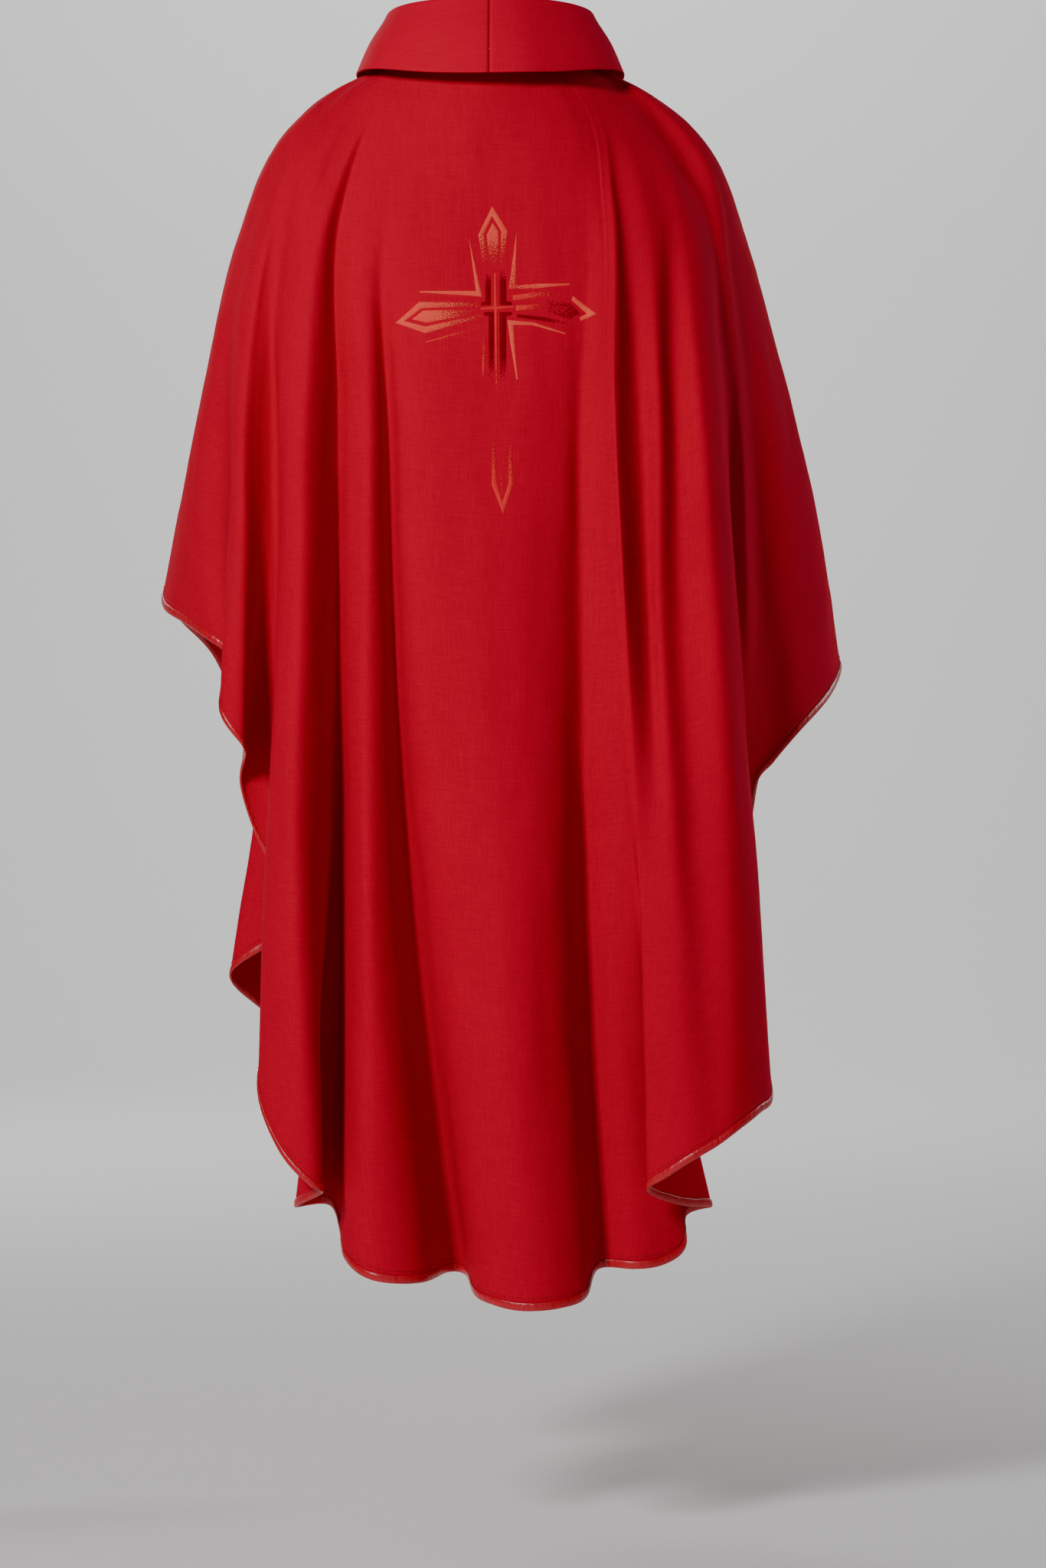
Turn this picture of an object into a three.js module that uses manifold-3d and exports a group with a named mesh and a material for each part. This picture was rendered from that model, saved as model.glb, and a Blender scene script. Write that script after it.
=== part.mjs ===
// A Gothic chasuble as it hangs on its wearer: two cloth panels joined at the shoulder seams, a turned-down
// collar, a bound hem and a cross embroidered on the back.
// Millimetres. +Z is up, +Y is the way the wearer faces, +X is the wearer's right.
// The origin is the middle of the neck opening, at the height of the back neckline.
import * as THREE from 'three';
import Module from 'manifold-3d';
import { mergeVertices } from 'three/addons/utils/BufferGeometryUtils.js';

// ---- driving sizes -----------------------------------------------------------------------------------
const GARMENT_WIDTH = 726;        // across the two sleeve corners, as it hangs
const GARMENT_DROP = 1272;        // from the back neckline down to the lowest point of the hem
const GARMENT_DEPTH = 450;        // from the crest of the back folds to the crest of the front folds
const CLOTH = 1.2;                // thickness of the woven cloth
const GAP = 0.35;                 // clearance between pieces that touch
const NECK_HALF_WIDTH = 98;
const NECK_BACK = 90;             // from the origin back to the neckline
const NECK_FRONT = 112;           // from the origin forward to the neckline
const NECK_FRONT_DIP = 52;        // the front neckline lies this much lower than the back one
const COLLAR_STAND = 52;          // height of the collar's roll above the neckline, at the back
const COLLAR_FALL = 82;           // height from the roll down to the turned edge, at the back
const COLLAR_SIDE_LIFT = 20;      // the turned edge lies this much higher where it rests on the shoulders
const COLLAR_FLARE = 33;          // how much further out the turned edge lies than the roll
const COLLAR_FRONT_DROP = 50;     // the roll is this much lower in front than behind
const COLLAR_ROLL = 4.2;          // radius of the roll, at the middle of the three layers
const COLLAR_CLOTH = 1.0;
const INTERLINING = 0.7;
const COLLAR_SEAM_OPENING = 1.8;  // width of the groove of the centre-back seam
const THREAD = 0.8;
const BINDING_WIDTH = 8;
const BINDING_CLOTH = 0.5;
const TAPE = 0.5;                 // thickness of the seam tapes
const SEAM_TAPE_WIDTH = 12;
const NECK_TAPE_WIDTH = 9;
const STITCH_ABOVE_BINDING = 3;   // from the binding's inner edge up to the row of stitches
const EMBROIDERY = 0.7;           // thickness of the embroidered thread
const EMBROIDERY_GAP = 1;         // keeps flat stitches clear of the curved cloth
const CROSS_SCALE = 1;
const CROSS_CENTRE_X = 6;
const CROSS_CENTRE_DROP = 272;    // from the back neckline down to the crossing
const BACKING = 0.4;

// ---- the base pattern's own size, which the fold lines below are drawn for ----------------------------
const BASE = { width: 726, drop: 1272, depth: 450 };
const GRADE = new THREE.Vector3(GARMENT_WIDTH / BASE.width, GARMENT_DEPTH / BASE.depth,
  GARMENT_DROP / BASE.drop);

// Each fold line runs from the neckline to the hem. It has its place round the neckline in degrees, from the
// wearer's left shoulder by way of the back, then where it lies (x, y) at five heights, and its end on the hem
// (x, y, z). The heights are these shares of the fold's own drop: yoke, shoulder blade, elbow, hip and knee.
const HEIGHTS = [0.05, 0.14, 0.31, 0.50, 0.70];
const LEFT_SEAM = ['left_seam', -90, [-165, 2], [-217, 6], [-259, 12], [-284, 20], [-310, 34], [-352, 110, -545]];
const RIGHT_SEAM = ['right_seam', 90, [168, 2], [229, 7], [272, 14], [306, 24], [336, 42], [374, 96, -622]];
const BACK_FOLDS = [
  ['arm_outer', -86, [-165, -6], [-219, -6], [-262, 0], [-289, 6], [-314, 14], [-346, 52, -566]],
  ['arm_behind', -82, [-164, -12], [-219, -20], [-262, -16], [-290, -12], [-312, -6], [-322, 4, -580]],
  ['arm_inner', -78, [-163, -18], [-216, -34], [-258, -36], [-284, -34], [-300, -34], [-292, -46, -600]],
  ['arm_valley', -74, [-161, -26], [-212, -44], [-250, -54], [-268, -58], [-271, -64], [-264, -60, -622]],
  ['side_fold_edge', -71, [-158, -32], [-206, -55], [-244, -74], [-262, -88], [-264, -100],
    [-278, -110, -676]],
  ['side_fold_face', -68, [-154, -38], [-200, -66], [-234, -92], [-250, -106], [-250, -116],
    [-248, -122, -714]],
  ['side_hem_turn', -65, [-149, -44], [-193, -74], [-227, -90], [-238, -98], [-238, -98], [-250, -86, -724]],
  ['side_hem_curl', -62, [-146, -49], [-189, -81], [-221, -90], [-229, -90], [-231, -86], [-258, -60, -750]],
  ['side_valley', -59, [-142, -54], [-185, -88], [-217, -93], [-222, -86], [-224, -80], [-245, -48, -797]],
  ['side_hem_inner', -56, [-139, -60], [-181, -95], [-214, -100], [-216, -90], [-217, -80],
    [-224, -50, -838]],
  ['hidden_flank', -53, [-136, -65], [-178, -102], [-212, -108], [-213, -102], [-210, -88],
    [-202, -70, -908]],
  ['hidden_flank_low', -50, [-133, -69], [-175, -108], [-210, -116], [-212, -115], [-205, -106],
    [-196, -102, -984]],
  ['first_fold_edge', -48, [-131, -72], [-174, -111], [-209, -121], [-213, -126], [-224, -140],
    [-238, -148, -1046]],
  ['first_fold_face', -45, [-127, -76], [-171, -116], [-200, -136], [-204, -148], [-212, -172],
    [-212, -188, -1116]],
  ['first_fold_crest', -42, [-122, -80], [-164, -120], [-184, -148], [-188, -166], [-192, -192],
    [-176, -204, -1152]],
  ['first_fold_inner', -39, [-117, -84], [-158, -120], [-168, -134], [-170, -146], [-170, -164],
    [-163, -184, -1158]],
  ['deep_valley', -36, [-113, -86], [-151, -112], [-156, -112], [-156, -112], [-158, -108],
    [-203, -132, -1180]],
  ['deep_valley_back', -34.5, [-110.5, -87.5], [-148, -113], [-152.5, -113], [-152, -113], [-152, -111],
    [-161, -106, -1175]],
  ['second_fold_back', -33, [-108.5, -89.5], [-144, -117], [-147, -121], [-147, -124], [-147, -126],
    [-150, -128, -1205]],
  ['second_fold_edge', -31.5, [-106, -92], [-139, -121], [-141, -132], [-141, -139], [-141, -148],
    [-146, -164, -1228]],
  ['second_fold_crest', -28, [-98, -96], [-128, -128], [-124, -150], [-124, -160], [-122, -180],
    [-118, -200, -1245]],
  ['second_fold_inner', -25, [-90, -100], [-116, -132], [-112, -146], [-108, -150], [-98, -162],
    [-66, -186, -1249]],
  ['second_valley', -22, [-82, -104], [-106, -134], [-104, -126], [-98, -122], [-82, -116],
    [-42, -110, -1245]],
  ['second_valley_right', -20, [-77, -106], [-100, -136], [-97, -134], [-90, -132], [-72, -128],
    [-22, -122, -1247]],
  ['middle_fold_edge', -17.5, [-70, -108.5], [-92, -138.5], [-90, -152], [-81, -158], [-58, -162],
    [-15, -172, -1263]],
  ['middle_fold_left', -14, [-58, -112], [-74, -142], [-70, -164], [-62, -174], [-36, -186],
    [4, -202, -1268]],
  ['middle_left', -7, [-30, -120], [-36, -146], [-32, -168], [-26, -182], [-8, -200], [26, -214, -1272]],
  ['middle', 0, [0, -123], [2, -147], [6, -168], [10, -184], [20, -206], [48, -218, -1272]],
  ['middle_right', 8, [30, -121], [38, -146], [42, -166], [44, -180], [48, -200], [72, -212, -1270]],
  ['middle_fold_right', 15, [58, -114], [72, -142], [76, -158], [74, -166], [76, -180], [98, -190, -1264]],
  ['third_valley', 21, [78, -108], [96, -138], [90, -148], [92, -144], [94, -138], [107, -140, -1237]],
  ['third_fold_left', 26, [86, -104], [103, -138], [99, -152], [106, -153], [114, -154], [146, -158, -1238]],
  ['third_fold_crest', 29, [92, -101], [109, -138], [107, -156], [117, -160], [128, -160],
    [176, -150, -1235]],
  ['third_fold_right', 31.5, [97, -98], [114, -137], [114, -158], [126, -164], [139, -162],
    [200, -137, -1220]],
  ['under_edge', 32.8, [99, -96.5], [116, -136.5], [117, -158.5], [129, -166], [142.5, -164.5],
    [196, -127, -1185]],
  ['under_turn', 34.4, [101, -95], [118, -136], [120, -159], [132, -168], [146, -168], [231, -123, -1178]],
  ['under_middle', 36, [104, -93], [121, -136], [124, -160], [135, -169], [148, -174], [192, -160, -1174]],
  ['fourth_fold_tip', 38, [107, -91], [125, -135], [128, -160], [138, -170], [150, -178], [153, -186, -1157]],
  ['shoulder_valley', 41, [112, -87], [132, -126], [150, -132], [160, -140], [168, -180], [176, -200, -1142]],
  ['fourth_fold_face', 45, [120, -80], [156, -122], [171, -148], [172, -154], [184, -186],
    [202, -206, -1124]],
  ['shallow_valley', 50, [130, -71], [172, -108], [187, -124], [192, -134], [204, -172], [228, -200, -1110]],
  ['fourth_fold_crest', 55, [139, -61], [190, -98], [208, -136], [222, -150], [238, -176],
    [250, -192, -1094]],
  ['fourth_fold_outer', 60, [148, -50], [202, -84], [220, -128], [236, -140], [254, -160],
    [272, -166, -1080]],
  ['fourth_fold_edge', 64, [154, -42], [210, -70], [230, -112], [247, -116], [266, -122], [290, -120, -1066]],
  ['side_valley_right', 68, [160, -34], [214, -56], [236, -84], [246, -84], [256, -82], [252, -40, -960]],
  ['sleeve_inner_right', 71, [163, -28], [220, -46], [246, -68], [258, -78], [264, -82], [268, -56, -760]],
  ['sleeve_valley_right', 74, [164, -22], [222, -38], [250, -50], [268, -56], [274, -58], [292, -40, -728]],
  ['sleeve_crest_right', 78, [166, -16], [226, -28], [260, -34], [288, -36], [306, -34], [322, -22, -694]],
  ['arm_behind_right', 82, [167, -10], [228, -16], [267, -16], [298, -12], [328, -6], [352, 20, -664]],
  ['arm_outer_right', 86, [168, -4], [229, -4], [270, 0], [305, 6], [338, 18], [368, 58, -640]],
];
const FRONT_FOLDS = [
  ['cuff_right', 94, [168, 8], [228, 18], [270, 32], [303, 48], [334, 80], [366, 136, -644]],
  ['cuff_front_right', 98, [167, 14], [226, 30], [266, 50], [294, 68], [318, 104], [334, 168, -680]],
  ['forearm_valley_right', 103, [164, 20], [220, 42], [254, 62], [272, 70], [286, 92], [290, 172, -736]],
  ['forearm_fold_right', 107, [160, 28], [214, 56], [246, 88], [264, 112], [278, 150], [280, 218, -824]],
  ['front_side_valley_right', 111, [156, 36], [206, 68], [232, 92], [240, 100], [244, 120], [236, 174, -892]],
  ['front_fourth_edge', 115, [150, 44], [198, 82], [222, 118], [232, 140], [238, 172], [230, 218, -1004]],
  ['front_fourth_crest', 119, [144, 52], [188, 94], [208, 130], [212, 154], [214, 190], [198, 230, -1076]],
  ['front_third_valley', 123, [137, 60], [176, 104], [190, 122], [188, 126], [182, 136], [168, 164, -1108]],
  ['front_third_edge', 127, [130, 68], [164, 114], [172, 144], [168, 160], [164, 188], [158, 222, -1176]],
  ['front_third_crest', 131, [122, 75], [150, 122], [152, 150], [146, 166], [136, 192], [124, 226, -1212]],
  ['front_second_valley', 136, [112, 82], [132, 126], [128, 132], [120, 128], [108, 130], [92, 154, -1212]],
  ['front_second_edge', 142, [98, 90], [112, 134], [106, 152], [98, 160], [84, 180], [70, 216, -1242]],
  ['front_second_crest', 150, [80, 98], [88, 140], [80, 158], [72, 170], [60, 192], [40, 230, -1254]],
  ['front_middle_right', 160, [52, 106], [56, 144], [48, 160], [40, 170], [28, 188], [10, 220, -1256]],
  ['front_middle_valley', 172, [20, 112], [18, 146], [8, 152], [0, 148], [-10, 144], [-22, 158, -1242]],
  ['front_middle_left', 184, [-14, 112], [-20, 147], [-28, 160], [-30, 168], [-34, 184], [-44, 210, -1254]],
  ['front_first_crest', 196, [-48, 107], [-56, 144], [-62, 160], [-62, 172], [-66, 192], [-76, 224, -1250]],
  ['front_first_edge', 207, [-78, 99], [-92, 138], [-94, 152], [-92, 160], [-94, 176], [-104, 204, -1238]],
  ['front_left_valley', 216, [-102, 89], [-120, 130], [-120, 130], [-118, 124], [-116, 124],
    [-122, 146, -1218]],
  ['front_left_crest', 223, [-118, 78], [-142, 124], [-148, 150], [-150, 162], [-152, 184],
    [-158, 218, -1198]],
  ['front_left_face', 229, [-130, 68], [-162, 114], [-172, 142], [-176, 154], [-180, 178],
    [-188, 208, -1152]],
  ['front_side_valley', 234, [-139, 58], [-176, 104], [-190, 118], [-192, 118], [-190, 122],
    [-190, 146, -1104]],
  ['front_side_crest', 239, [-146, 48], [-190, 92], [-210, 122], [-216, 140], [-220, 170],
    [-222, 204, -1050]],
  ['front_side_face', 242, [-150, 44], [-196, 84], [-220, 112], [-230, 128], [-236, 148], [-234, 172, -1024]],
  ['tip_under', 245, [-153, 40], [-201, 77], [-228, 102], [-240, 112], [-238, 128], [-242, 126, -996]],
  ['tip_edge', 248, [-156, 34], [-205, 70], [-233, 93], [-246, 100], [-241, 104], [-286, 70, -952]],
  ['tip_face', 250.5, [-158, 30], [-209, 63], [-238, 84], [-252, 92], [-246, 95], [-218, 54, -912]],
  ['hidden_drop', 253, [-160, 26], [-212, 56], [-243, 76], [-259, 83], [-257, 88], [-226, 84, -868]],
  ['forearm_drop', 256, [-162, 22], [-215, 48], [-248, 67], [-264, 74], [-268, 83], [-246, 104, -780]],
  ['forearm_inner', 259, [-163, 18], [-217, 38], [-252, 55], [-270, 62], [-282, 74], [-266, 110, -692]],
  ['cuff_front', 262, [-165, 13], [-218, 28], [-257, 40], [-279, 48], [-300, 68], [-296, 128, -612]],
  ['cuff', 266, [-165, 8], [-218, 16], [-259, 26], [-283, 34], [-309, 54], [-336, 134, -574]],
];
const RING = [LEFT_SEAM, ...BACK_FOLDS, RIGHT_SEAM, ...FRONT_FOLDS];
const ROWS_BETWEEN_HEIGHTS = [1, 2, 2, 2, 2, 2];
const BEND_SOFTNESS = 0.5;
const SHARP_TURN = 70;            // degrees
const PARTS_ROUND_A_BEND = 2;
const STITCH_HEIGHT = BINDING_WIDTH + STITCH_ABOVE_BINDING;
const CUT_CLEARANCE = 0.15;
const WELD = 1e-3;

const wasm = await Module();
wasm.setup();

// ---- small helpers -------------------------------------------------------------------------------------
const DEG = Math.PI / 180;
const vec = (x, y, z) => new THREE.Vector3(x, y, z);
const lerp = (a, b, f) => a.clone().lerp(b, f);
const moved = (point, direction, distance) => point.clone().addScaledVector(direction, distance);
const unit = (a, b) => b.clone().sub(a).normalize();
const wrap = (index, count) => (index + count) % count;

// A closed body through a row of cross-sections, each of them one side followed by the other side in reverse.
// A ring joins the last section to the first, and an open row is closed by a strip across each end. Both sides
// are cut into triangles along the same diagonals, so that layers made alike lie parallel.
function loftSolid(sections, ring = false) {
  const corners = sections[0].length;
  const index = [];
  const spans = ring ? sections.length : sections.length - 1;
  for (let s = 0; s < spans; s += 1) {
    const there = wrap(s + 1, sections.length) * corners;
    for (let c = 0; c < corners; c += 1) {
      const [a, b] = [s * corners + c, s * corners + wrap(c + 1, corners)];
      const [d, e] = [there + c, there + wrap(c + 1, corners)];
      index.push(...(c < corners / 2 ? [a, d, e, a, e, b] : [a, d, b, b, d, e]));
    }
  }
  const ends = ring ? [] : [...endStrip(0, corners), ...endStrip(spans * corners, corners).reverse()];
  return closed(sections.flat().flatMap((p) => [p.x, p.y, p.z]), [...index, ...ends]);
}

function endStrip(first, corners) {
  const index = [];
  for (let c = 0; c < corners / 2 - 1; c += 1) {
    const [a, b] = [first + c, first + c + 1];
    const [d, e] = [first + corners - 1 - c, first + corners - 2 - c];
    index.push(a, b, e, a, e, d);
  }
  return index;
}

// A geometry whose faces point out, whichever way round they were listed.
function closed(positions, index) {
  const geometry = new THREE.BufferGeometry();
  geometry.setAttribute('position', new THREE.Float32BufferAttribute(positions, 3));
  geometry.setIndex(signedVolume(positions, index) < 0 ? index.slice().reverse() : index);
  return geometry;
}

function signedVolume(positions, index) {
  const corner = (i) => vec(positions[3 * i], positions[3 * i + 1], positions[3 * i + 2]);
  let volume = 0;
  for (let i = 0; i < index.length; i += 3) {
    volume += corner(index[i]).dot(corner(index[i + 1]).cross(corner(index[i + 2]))) / 6;
  }
  return volume;
}

// ---- the hanging cloth -----------------------------------------------------------------------------------
function necklinePoint(degrees) {
  const angle = degrees * DEG;
  const forward = Math.max(0, -Math.cos(angle));
  const reach = forward > 0 ? NECK_FRONT : NECK_BACK;
  return vec(NECK_HALF_WIDTH * Math.sin(angle), -reach * Math.cos(angle), -NECK_FRONT_DIP * forward ** 1.6);
}

// The fold line's own points, from the neckline to the hem, at the garment's graded size.
function foldPoints([, degrees, ...places]) {
  const top = necklinePoint(degrees);
  const [hemX, hemY, hemZ] = places[places.length - 1];
  const hem = vec(hemX, hemY, hemZ).multiply(GRADE);
  const between = HEIGHTS.map((share, i) => {
    const [x, y] = places[i];
    return vec(x * GRADE.x, y * GRADE.y, top.z + share * (hem.z - top.z));
  });
  return [top, ...between, hem];
}

// The cloth's middle surface, column by column, row 0 on the neckline and the last row on the hem.
function drawnColumn(fold) {
  const points = foldPoints(fold);
  const curve = new THREE.CatmullRomCurve3(points, false, 'chordal');
  const column = [];
  ROWS_BETWEEN_HEIGHTS.forEach((rows, span) => {
    for (let row = 0; row < rows; row += 1) {
      column.push(curve.getPoint((span + row / rows) / (points.length - 1)));
    }
  });
  return [...column, points[points.length - 1]];
}

// How sharply a row of the cloth turns at one of its columns, in degrees.
function turnAt(row, c) {
  const [before, here, after] = [-1, 0, 1].map((step) => row[wrap(c + step, row.length)]);
  return unit(before, here).angleTo(unit(here, after)) / DEG;
}

// A point between column c of a closed row and the next one. A bend is rounder than the drawn corners: it is a
// mean of the curve through the four nearest points and the one that they only pull towards them.
function softBend(row, c, f) {
  const through = [(-f + 2 * f ** 2 - f ** 3) / 2, (2 - 5 * f ** 2 + 3 * f ** 3) / 2,
    (f + 4 * f ** 2 - 3 * f ** 3) / 2, (f ** 3 - f ** 2) / 2];
  const pulled = [(1 - f) ** 3 / 6, (4 - 6 * f ** 2 + 3 * f ** 3) / 6,
    (1 + 3 * f + 3 * f ** 2 - 3 * f ** 3) / 6, f ** 3 / 6];
  return through.reduce((sum, weight, i) => {
    const share = weight + BEND_SOFTNESS * (pulled[i] - weight);
    return sum.addScaledVector(row[wrap(c + i - 1, row.length)], share);
  }, vec(0, 0, 0));
}

// Between two drawn fold lines the cloth turns in a round bend, with more columns where the hem turns sharply.
// Near the edge one row follows the top of the binding and one the row of stitches above it.
function clothColumns() {
  const drawn = RING.map(drawnColumn);
  const rows = drawn[0].map((_, row) => drawn.map((column) => column[row]));
  const hem = rows[rows.length - 1];
  const columns = [];
  drawn.forEach((_, c) => {
    const sharp = Math.max(turnAt(hem, c), turnAt(hem, wrap(c + 1, hem.length))) > SHARP_TURN;
    const parts = sharp ? PARTS_ROUND_A_BEND : 1;
    for (let part = 0; part < parts; part += 1) {
      const points = rows.map((row) => softBend(row, c, part / parts));
      const edge = points.pop();
      const up = unit(edge, points[points.length - 1]);
      const above = [STITCH_HEIGHT + THREAD, BINDING_WIDTH].map((height) => moved(edge, up, height));
      columns.push({ name: part === 0 ? RING[c][0] : '', points: [...points, ...above, edge] });
    }
  });
  return columns;
}

const COLUMNS = clothColumns();
const CLOTH_COLUMNS = COLUMNS.map(({ points }) => points);
const columnNamed = (label) => COLUMNS.findIndex(({ name }) => name === label);
const RIGHT_SEAM_COLUMN = columnNamed('right_seam');
const ROWS = CLOTH_COLUMNS[0].length;
const HEM_ROW = ROWS - 1;
const BOUND_ROW = HEM_ROW - 3;    // the last row above the stitches and the binding

// The outward direction of the cloth at each point. The rows near the edge share theirs, so that the binding
// lies parallel to the cloth that it wraps.
function clothNormals() {
  const count = CLOTH_COLUMNS.length;
  return CLOTH_COLUMNS.map((column, c) => {
    const before = CLOTH_COLUMNS[wrap(c - 1, count)];
    const after = CLOTH_COLUMNS[wrap(c + 1, count)];
    const normalAt = (row) => {
      const down = unit(column[Math.max(row - 1, 0)], column[Math.min(row + 1, HEM_ROW)]);
      const left = unit(before[row], column[row]).cross(down);
      const right = unit(column[row], after[row]).cross(down);
      return left.normalize().add(right.normalize()).normalize().negate();
    };
    const normals = column.map((_, row) => normalAt(row));
    return normals.map((normal, row) => (row > BOUND_ROW ? normals[HEM_ROW] : normal));
  });
}
const NORMALS = clothNormals();

// A sheet over some of the cloth's columns and rows, between two distances out from its middle surface.
function sheetSolid(columns, firstRow, lastRow, inner, outer) {
  const sections = columns.map(({ points, normals }) => {
    const rows = [];
    for (let row = firstRow; row <= lastRow; row += 1) {
      rows.push(row);
    }
    const face = (distance) => rows.map((row) => moved(points[row], normals[row], distance));
    return [...face(inner), ...face(outer).reverse()];
  });
  return loftSolid(sections);
}

function panelColumns(first, last) {
  const columns = [];
  for (let c = first; c <= last; c += 1) {
    const here = wrap(c, CLOTH_COLUMNS.length);
    const towards = c === first ? c + 1 : c - 1;
    const pulled = c === first || c === last;
    const neighbour = CLOTH_COLUMNS[wrap(towards, CLOTH_COLUMNS.length)];
    const points = CLOTH_COLUMNS[here].map((p, row) => (pulled ? moved(p, unit(p, neighbour[row]), GAP) : p));
    columns.push({ points, normals: NORMALS[here] });
  }
  return columns;
}

const BACK_COLUMNS = panelColumns(0, RIGHT_SEAM_COLUMN);
const FRONT_COLUMNS = panelColumns(RIGHT_SEAM_COLUMN, CLOTH_COLUMNS.length);
const backPanel = () => sheetSolid(BACK_COLUMNS, 0, HEM_ROW, -CLOTH / 2, CLOTH / 2);
const frontPanel = () => sheetSolid(FRONT_COLUMNS, 0, HEM_ROW, -CLOTH / 2, CLOTH / 2);

// ---- seam tapes, inside the garment -------------------------------------------------------------
const TAPE_OUTER = -(CLOTH / 2 + 3 * GAP);
const TAPE_INNER = TAPE_OUTER - TAPE;

// A column part of the way from one column to the next one, on the flat faces between them.
function columnBetween(from, to, share) {
  return {
    points: CLOTH_COLUMNS[from].map((p, row) => lerp(p, CLOTH_COLUMNS[to][row], share)),
    normals: NORMALS[from].map((n, row) => lerp(n, NORMALS[to][row], share)),
  };
}

function shoulderSeamTape(seamColumn) {
  const columns = [-1, 0, 1].map((side) => {
    const neighbour = wrap(seamColumn + side, CLOTH_COLUMNS.length);
    const widest = CLOTH_COLUMNS[seamColumn][HEM_ROW].distanceTo(CLOTH_COLUMNS[neighbour][HEM_ROW]);
    return columnBetween(seamColumn, neighbour, side === 0 ? 0 : Math.min(0.9, SEAM_TAPE_WIDTH / widest));
  });
  return sheetSolid(columns, 2, BOUND_ROW, TAPE_INNER, TAPE_OUTER);
}

function neckSeamTape() {
  const sections = CLOTH_COLUMNS.map((column, c) => {
    const corner = (along, out) => {
      const share = along / column[0].distanceTo(column[1]);
      return moved(lerp(column[0], column[1], share), lerp(NORMALS[c][0], NORMALS[c][1], share), out);
    };
    return [corner(1, TAPE_INNER), corner(NECK_TAPE_WIDTH, TAPE_INNER),
      corner(NECK_TAPE_WIDTH, TAPE_OUTER), corner(1, TAPE_OUTER)];
  });
  return loftSolid(sections, true);
}

// ---- the bound hem ------------------------------------------------------------------------------
// Every hem station has the edge point, the direction up into the cloth and the outward direction.
const HEM_STATIONS = CLOTH_COLUMNS.map((column, c) => ({
  edge: column[HEM_ROW],
  up: unit(column[HEM_ROW], column[HEM_ROW - 1]),
  out: NORMALS[c][HEM_ROW],
}));

function hemRing(profile) {
  const sections = HEM_STATIONS.map(({ edge, up, out }) => (
    profile.map(([u, o]) => moved(moved(edge, up, u), out, o))));
  return loftSolid(sections, true);
}

// The lowest rows of a cloth's columns, a little thicker and longer than they are.
function hemAllowance(columns) {
  const reach = CLOTH / 2 + CUT_CLEARANCE;
  const longer = columns.map(({ points, normals }) => {
    const edge = points[HEM_ROW];
    const down = unit(points[HEM_ROW - 1], edge);
    return { points: [...points.slice(0, HEM_ROW), moved(edge, down, CUT_CLEARANCE)], normals };
  });
  return solid(sheetSolid(longer, BOUND_ROW - 2, HEM_ROW, -reach, reach));
}

// Where the cloth turns sharply, what is sewn on to it is cut back so that it stays clear.
function clearOf(cloths, geometry) {
  const pieces = cloths.reduce((body, cloth) => body.subtract(cloth), solid(geometry)).decompose();
  const largest = pieces.reduce((best, piece) => (piece.volume() > best.volume() ? piece : best));
  const { vertProperties, triVerts } = largest.getMesh();
  return closed([...vertProperties], [...triVerts]);
}

function solid(geometry) {
  const welded = mergeVertices(geometry.clone(), WELD);
  return new wasm.Manifold(new wasm.Mesh({
    numProp: 3,
    vertProperties: welded.getAttribute('position').array,
    triVerts: new Uint32Array(welded.getIndex().array),
  }));
}

const HEM_CLOTHS = [BACK_COLUMNS, FRONT_COLUMNS].map(hemAllowance);

function hemBinding() {
  const inner = CLOTH / 2 + GAP;
  const outer = inner + BINDING_CLOTH;
  const foldInside = -GAP;
  const foldOutside = foldInside - BINDING_CLOTH;
  return clearOf(HEM_CLOTHS, hemRing([[foldOutside, outer], [BINDING_WIDTH, outer], [BINDING_WIDTH, inner],
    [foldInside, inner], [foldInside, -inner], [BINDING_WIDTH, -inner], [BINDING_WIDTH, -outer],
    [foldOutside, -outer]]));
}

function hemStitching() {
  const base = CLOTH / 2 + GAP;
  const low = STITCH_HEIGHT;
  const high = STITCH_HEIGHT + THREAD;
  const proud = base + THREAD / 2;
  return clearOf(HEM_CLOTHS, hemRing([[high, base], [low, base], [low, proud], [high, proud]]));
}

// ---- the collar ---------------------------------------------------------------------------------
// At each station round the neck, the collar's middle line runs in the upright plane through the origin: up
// the stand from the neckline, round the roll, and down and out to the turned edge. Coordinates are
// (distance from the axis, height).
function collarPath(degrees) {
  const angle = degrees * DEG;
  const neck = necklinePoint(degrees);
  const forward = Math.max(0, -Math.cos(angle)) ** 1.6;
  const base = new THREE.Vector2(Math.hypot(neck.x, neck.y), neck.z + CLOTH + GAP);
  const top = COLLAR_STAND - COLLAR_FRONT_DROP * forward;
  const lift = COLLAR_SIDE_LIFT * GRADE.x ** 2;
  const fall = COLLAR_FALL - lift * Math.sin(angle) ** 2;
  const edge = new THREE.Vector2(base.x + COLLAR_FLARE + 2 * COLLAR_ROLL, top - fall);
  const rollCentre = new THREE.Vector2(base.x + 2 + COLLAR_ROLL, top - COLLAR_ROLL);
  const path = [base, new THREE.Vector2(base.x + 1, (base.y + rollCentre.y) / 2)];
  for (let turn = 180; turn >= 15; turn -= 55) {
    path.push(rollCentre.clone().add(new THREE.Vector2(Math.cos(turn * DEG), Math.sin(turn * DEG))
      .multiplyScalar(COLLAR_ROLL)));
  }
  const last = path[path.length - 1];
  path.push(last.clone().lerp(edge, 0.5).add(new THREE.Vector2(2.5, 0)), edge);
  return path;
}

// The line that lies a fixed distance to the outer side of a path (the neck's side of the stand).
function offsetPath(path, distance) {
  return path.map((point, i) => {
    const before = path[Math.max(i - 1, 0)];
    const after = path[Math.min(i + 1, path.length - 1)];
    const along = after.clone().sub(before).normalize();
    return point.clone().add(new THREE.Vector2(-along.y, along.x).multiplyScalar(distance));
  });
}

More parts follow.
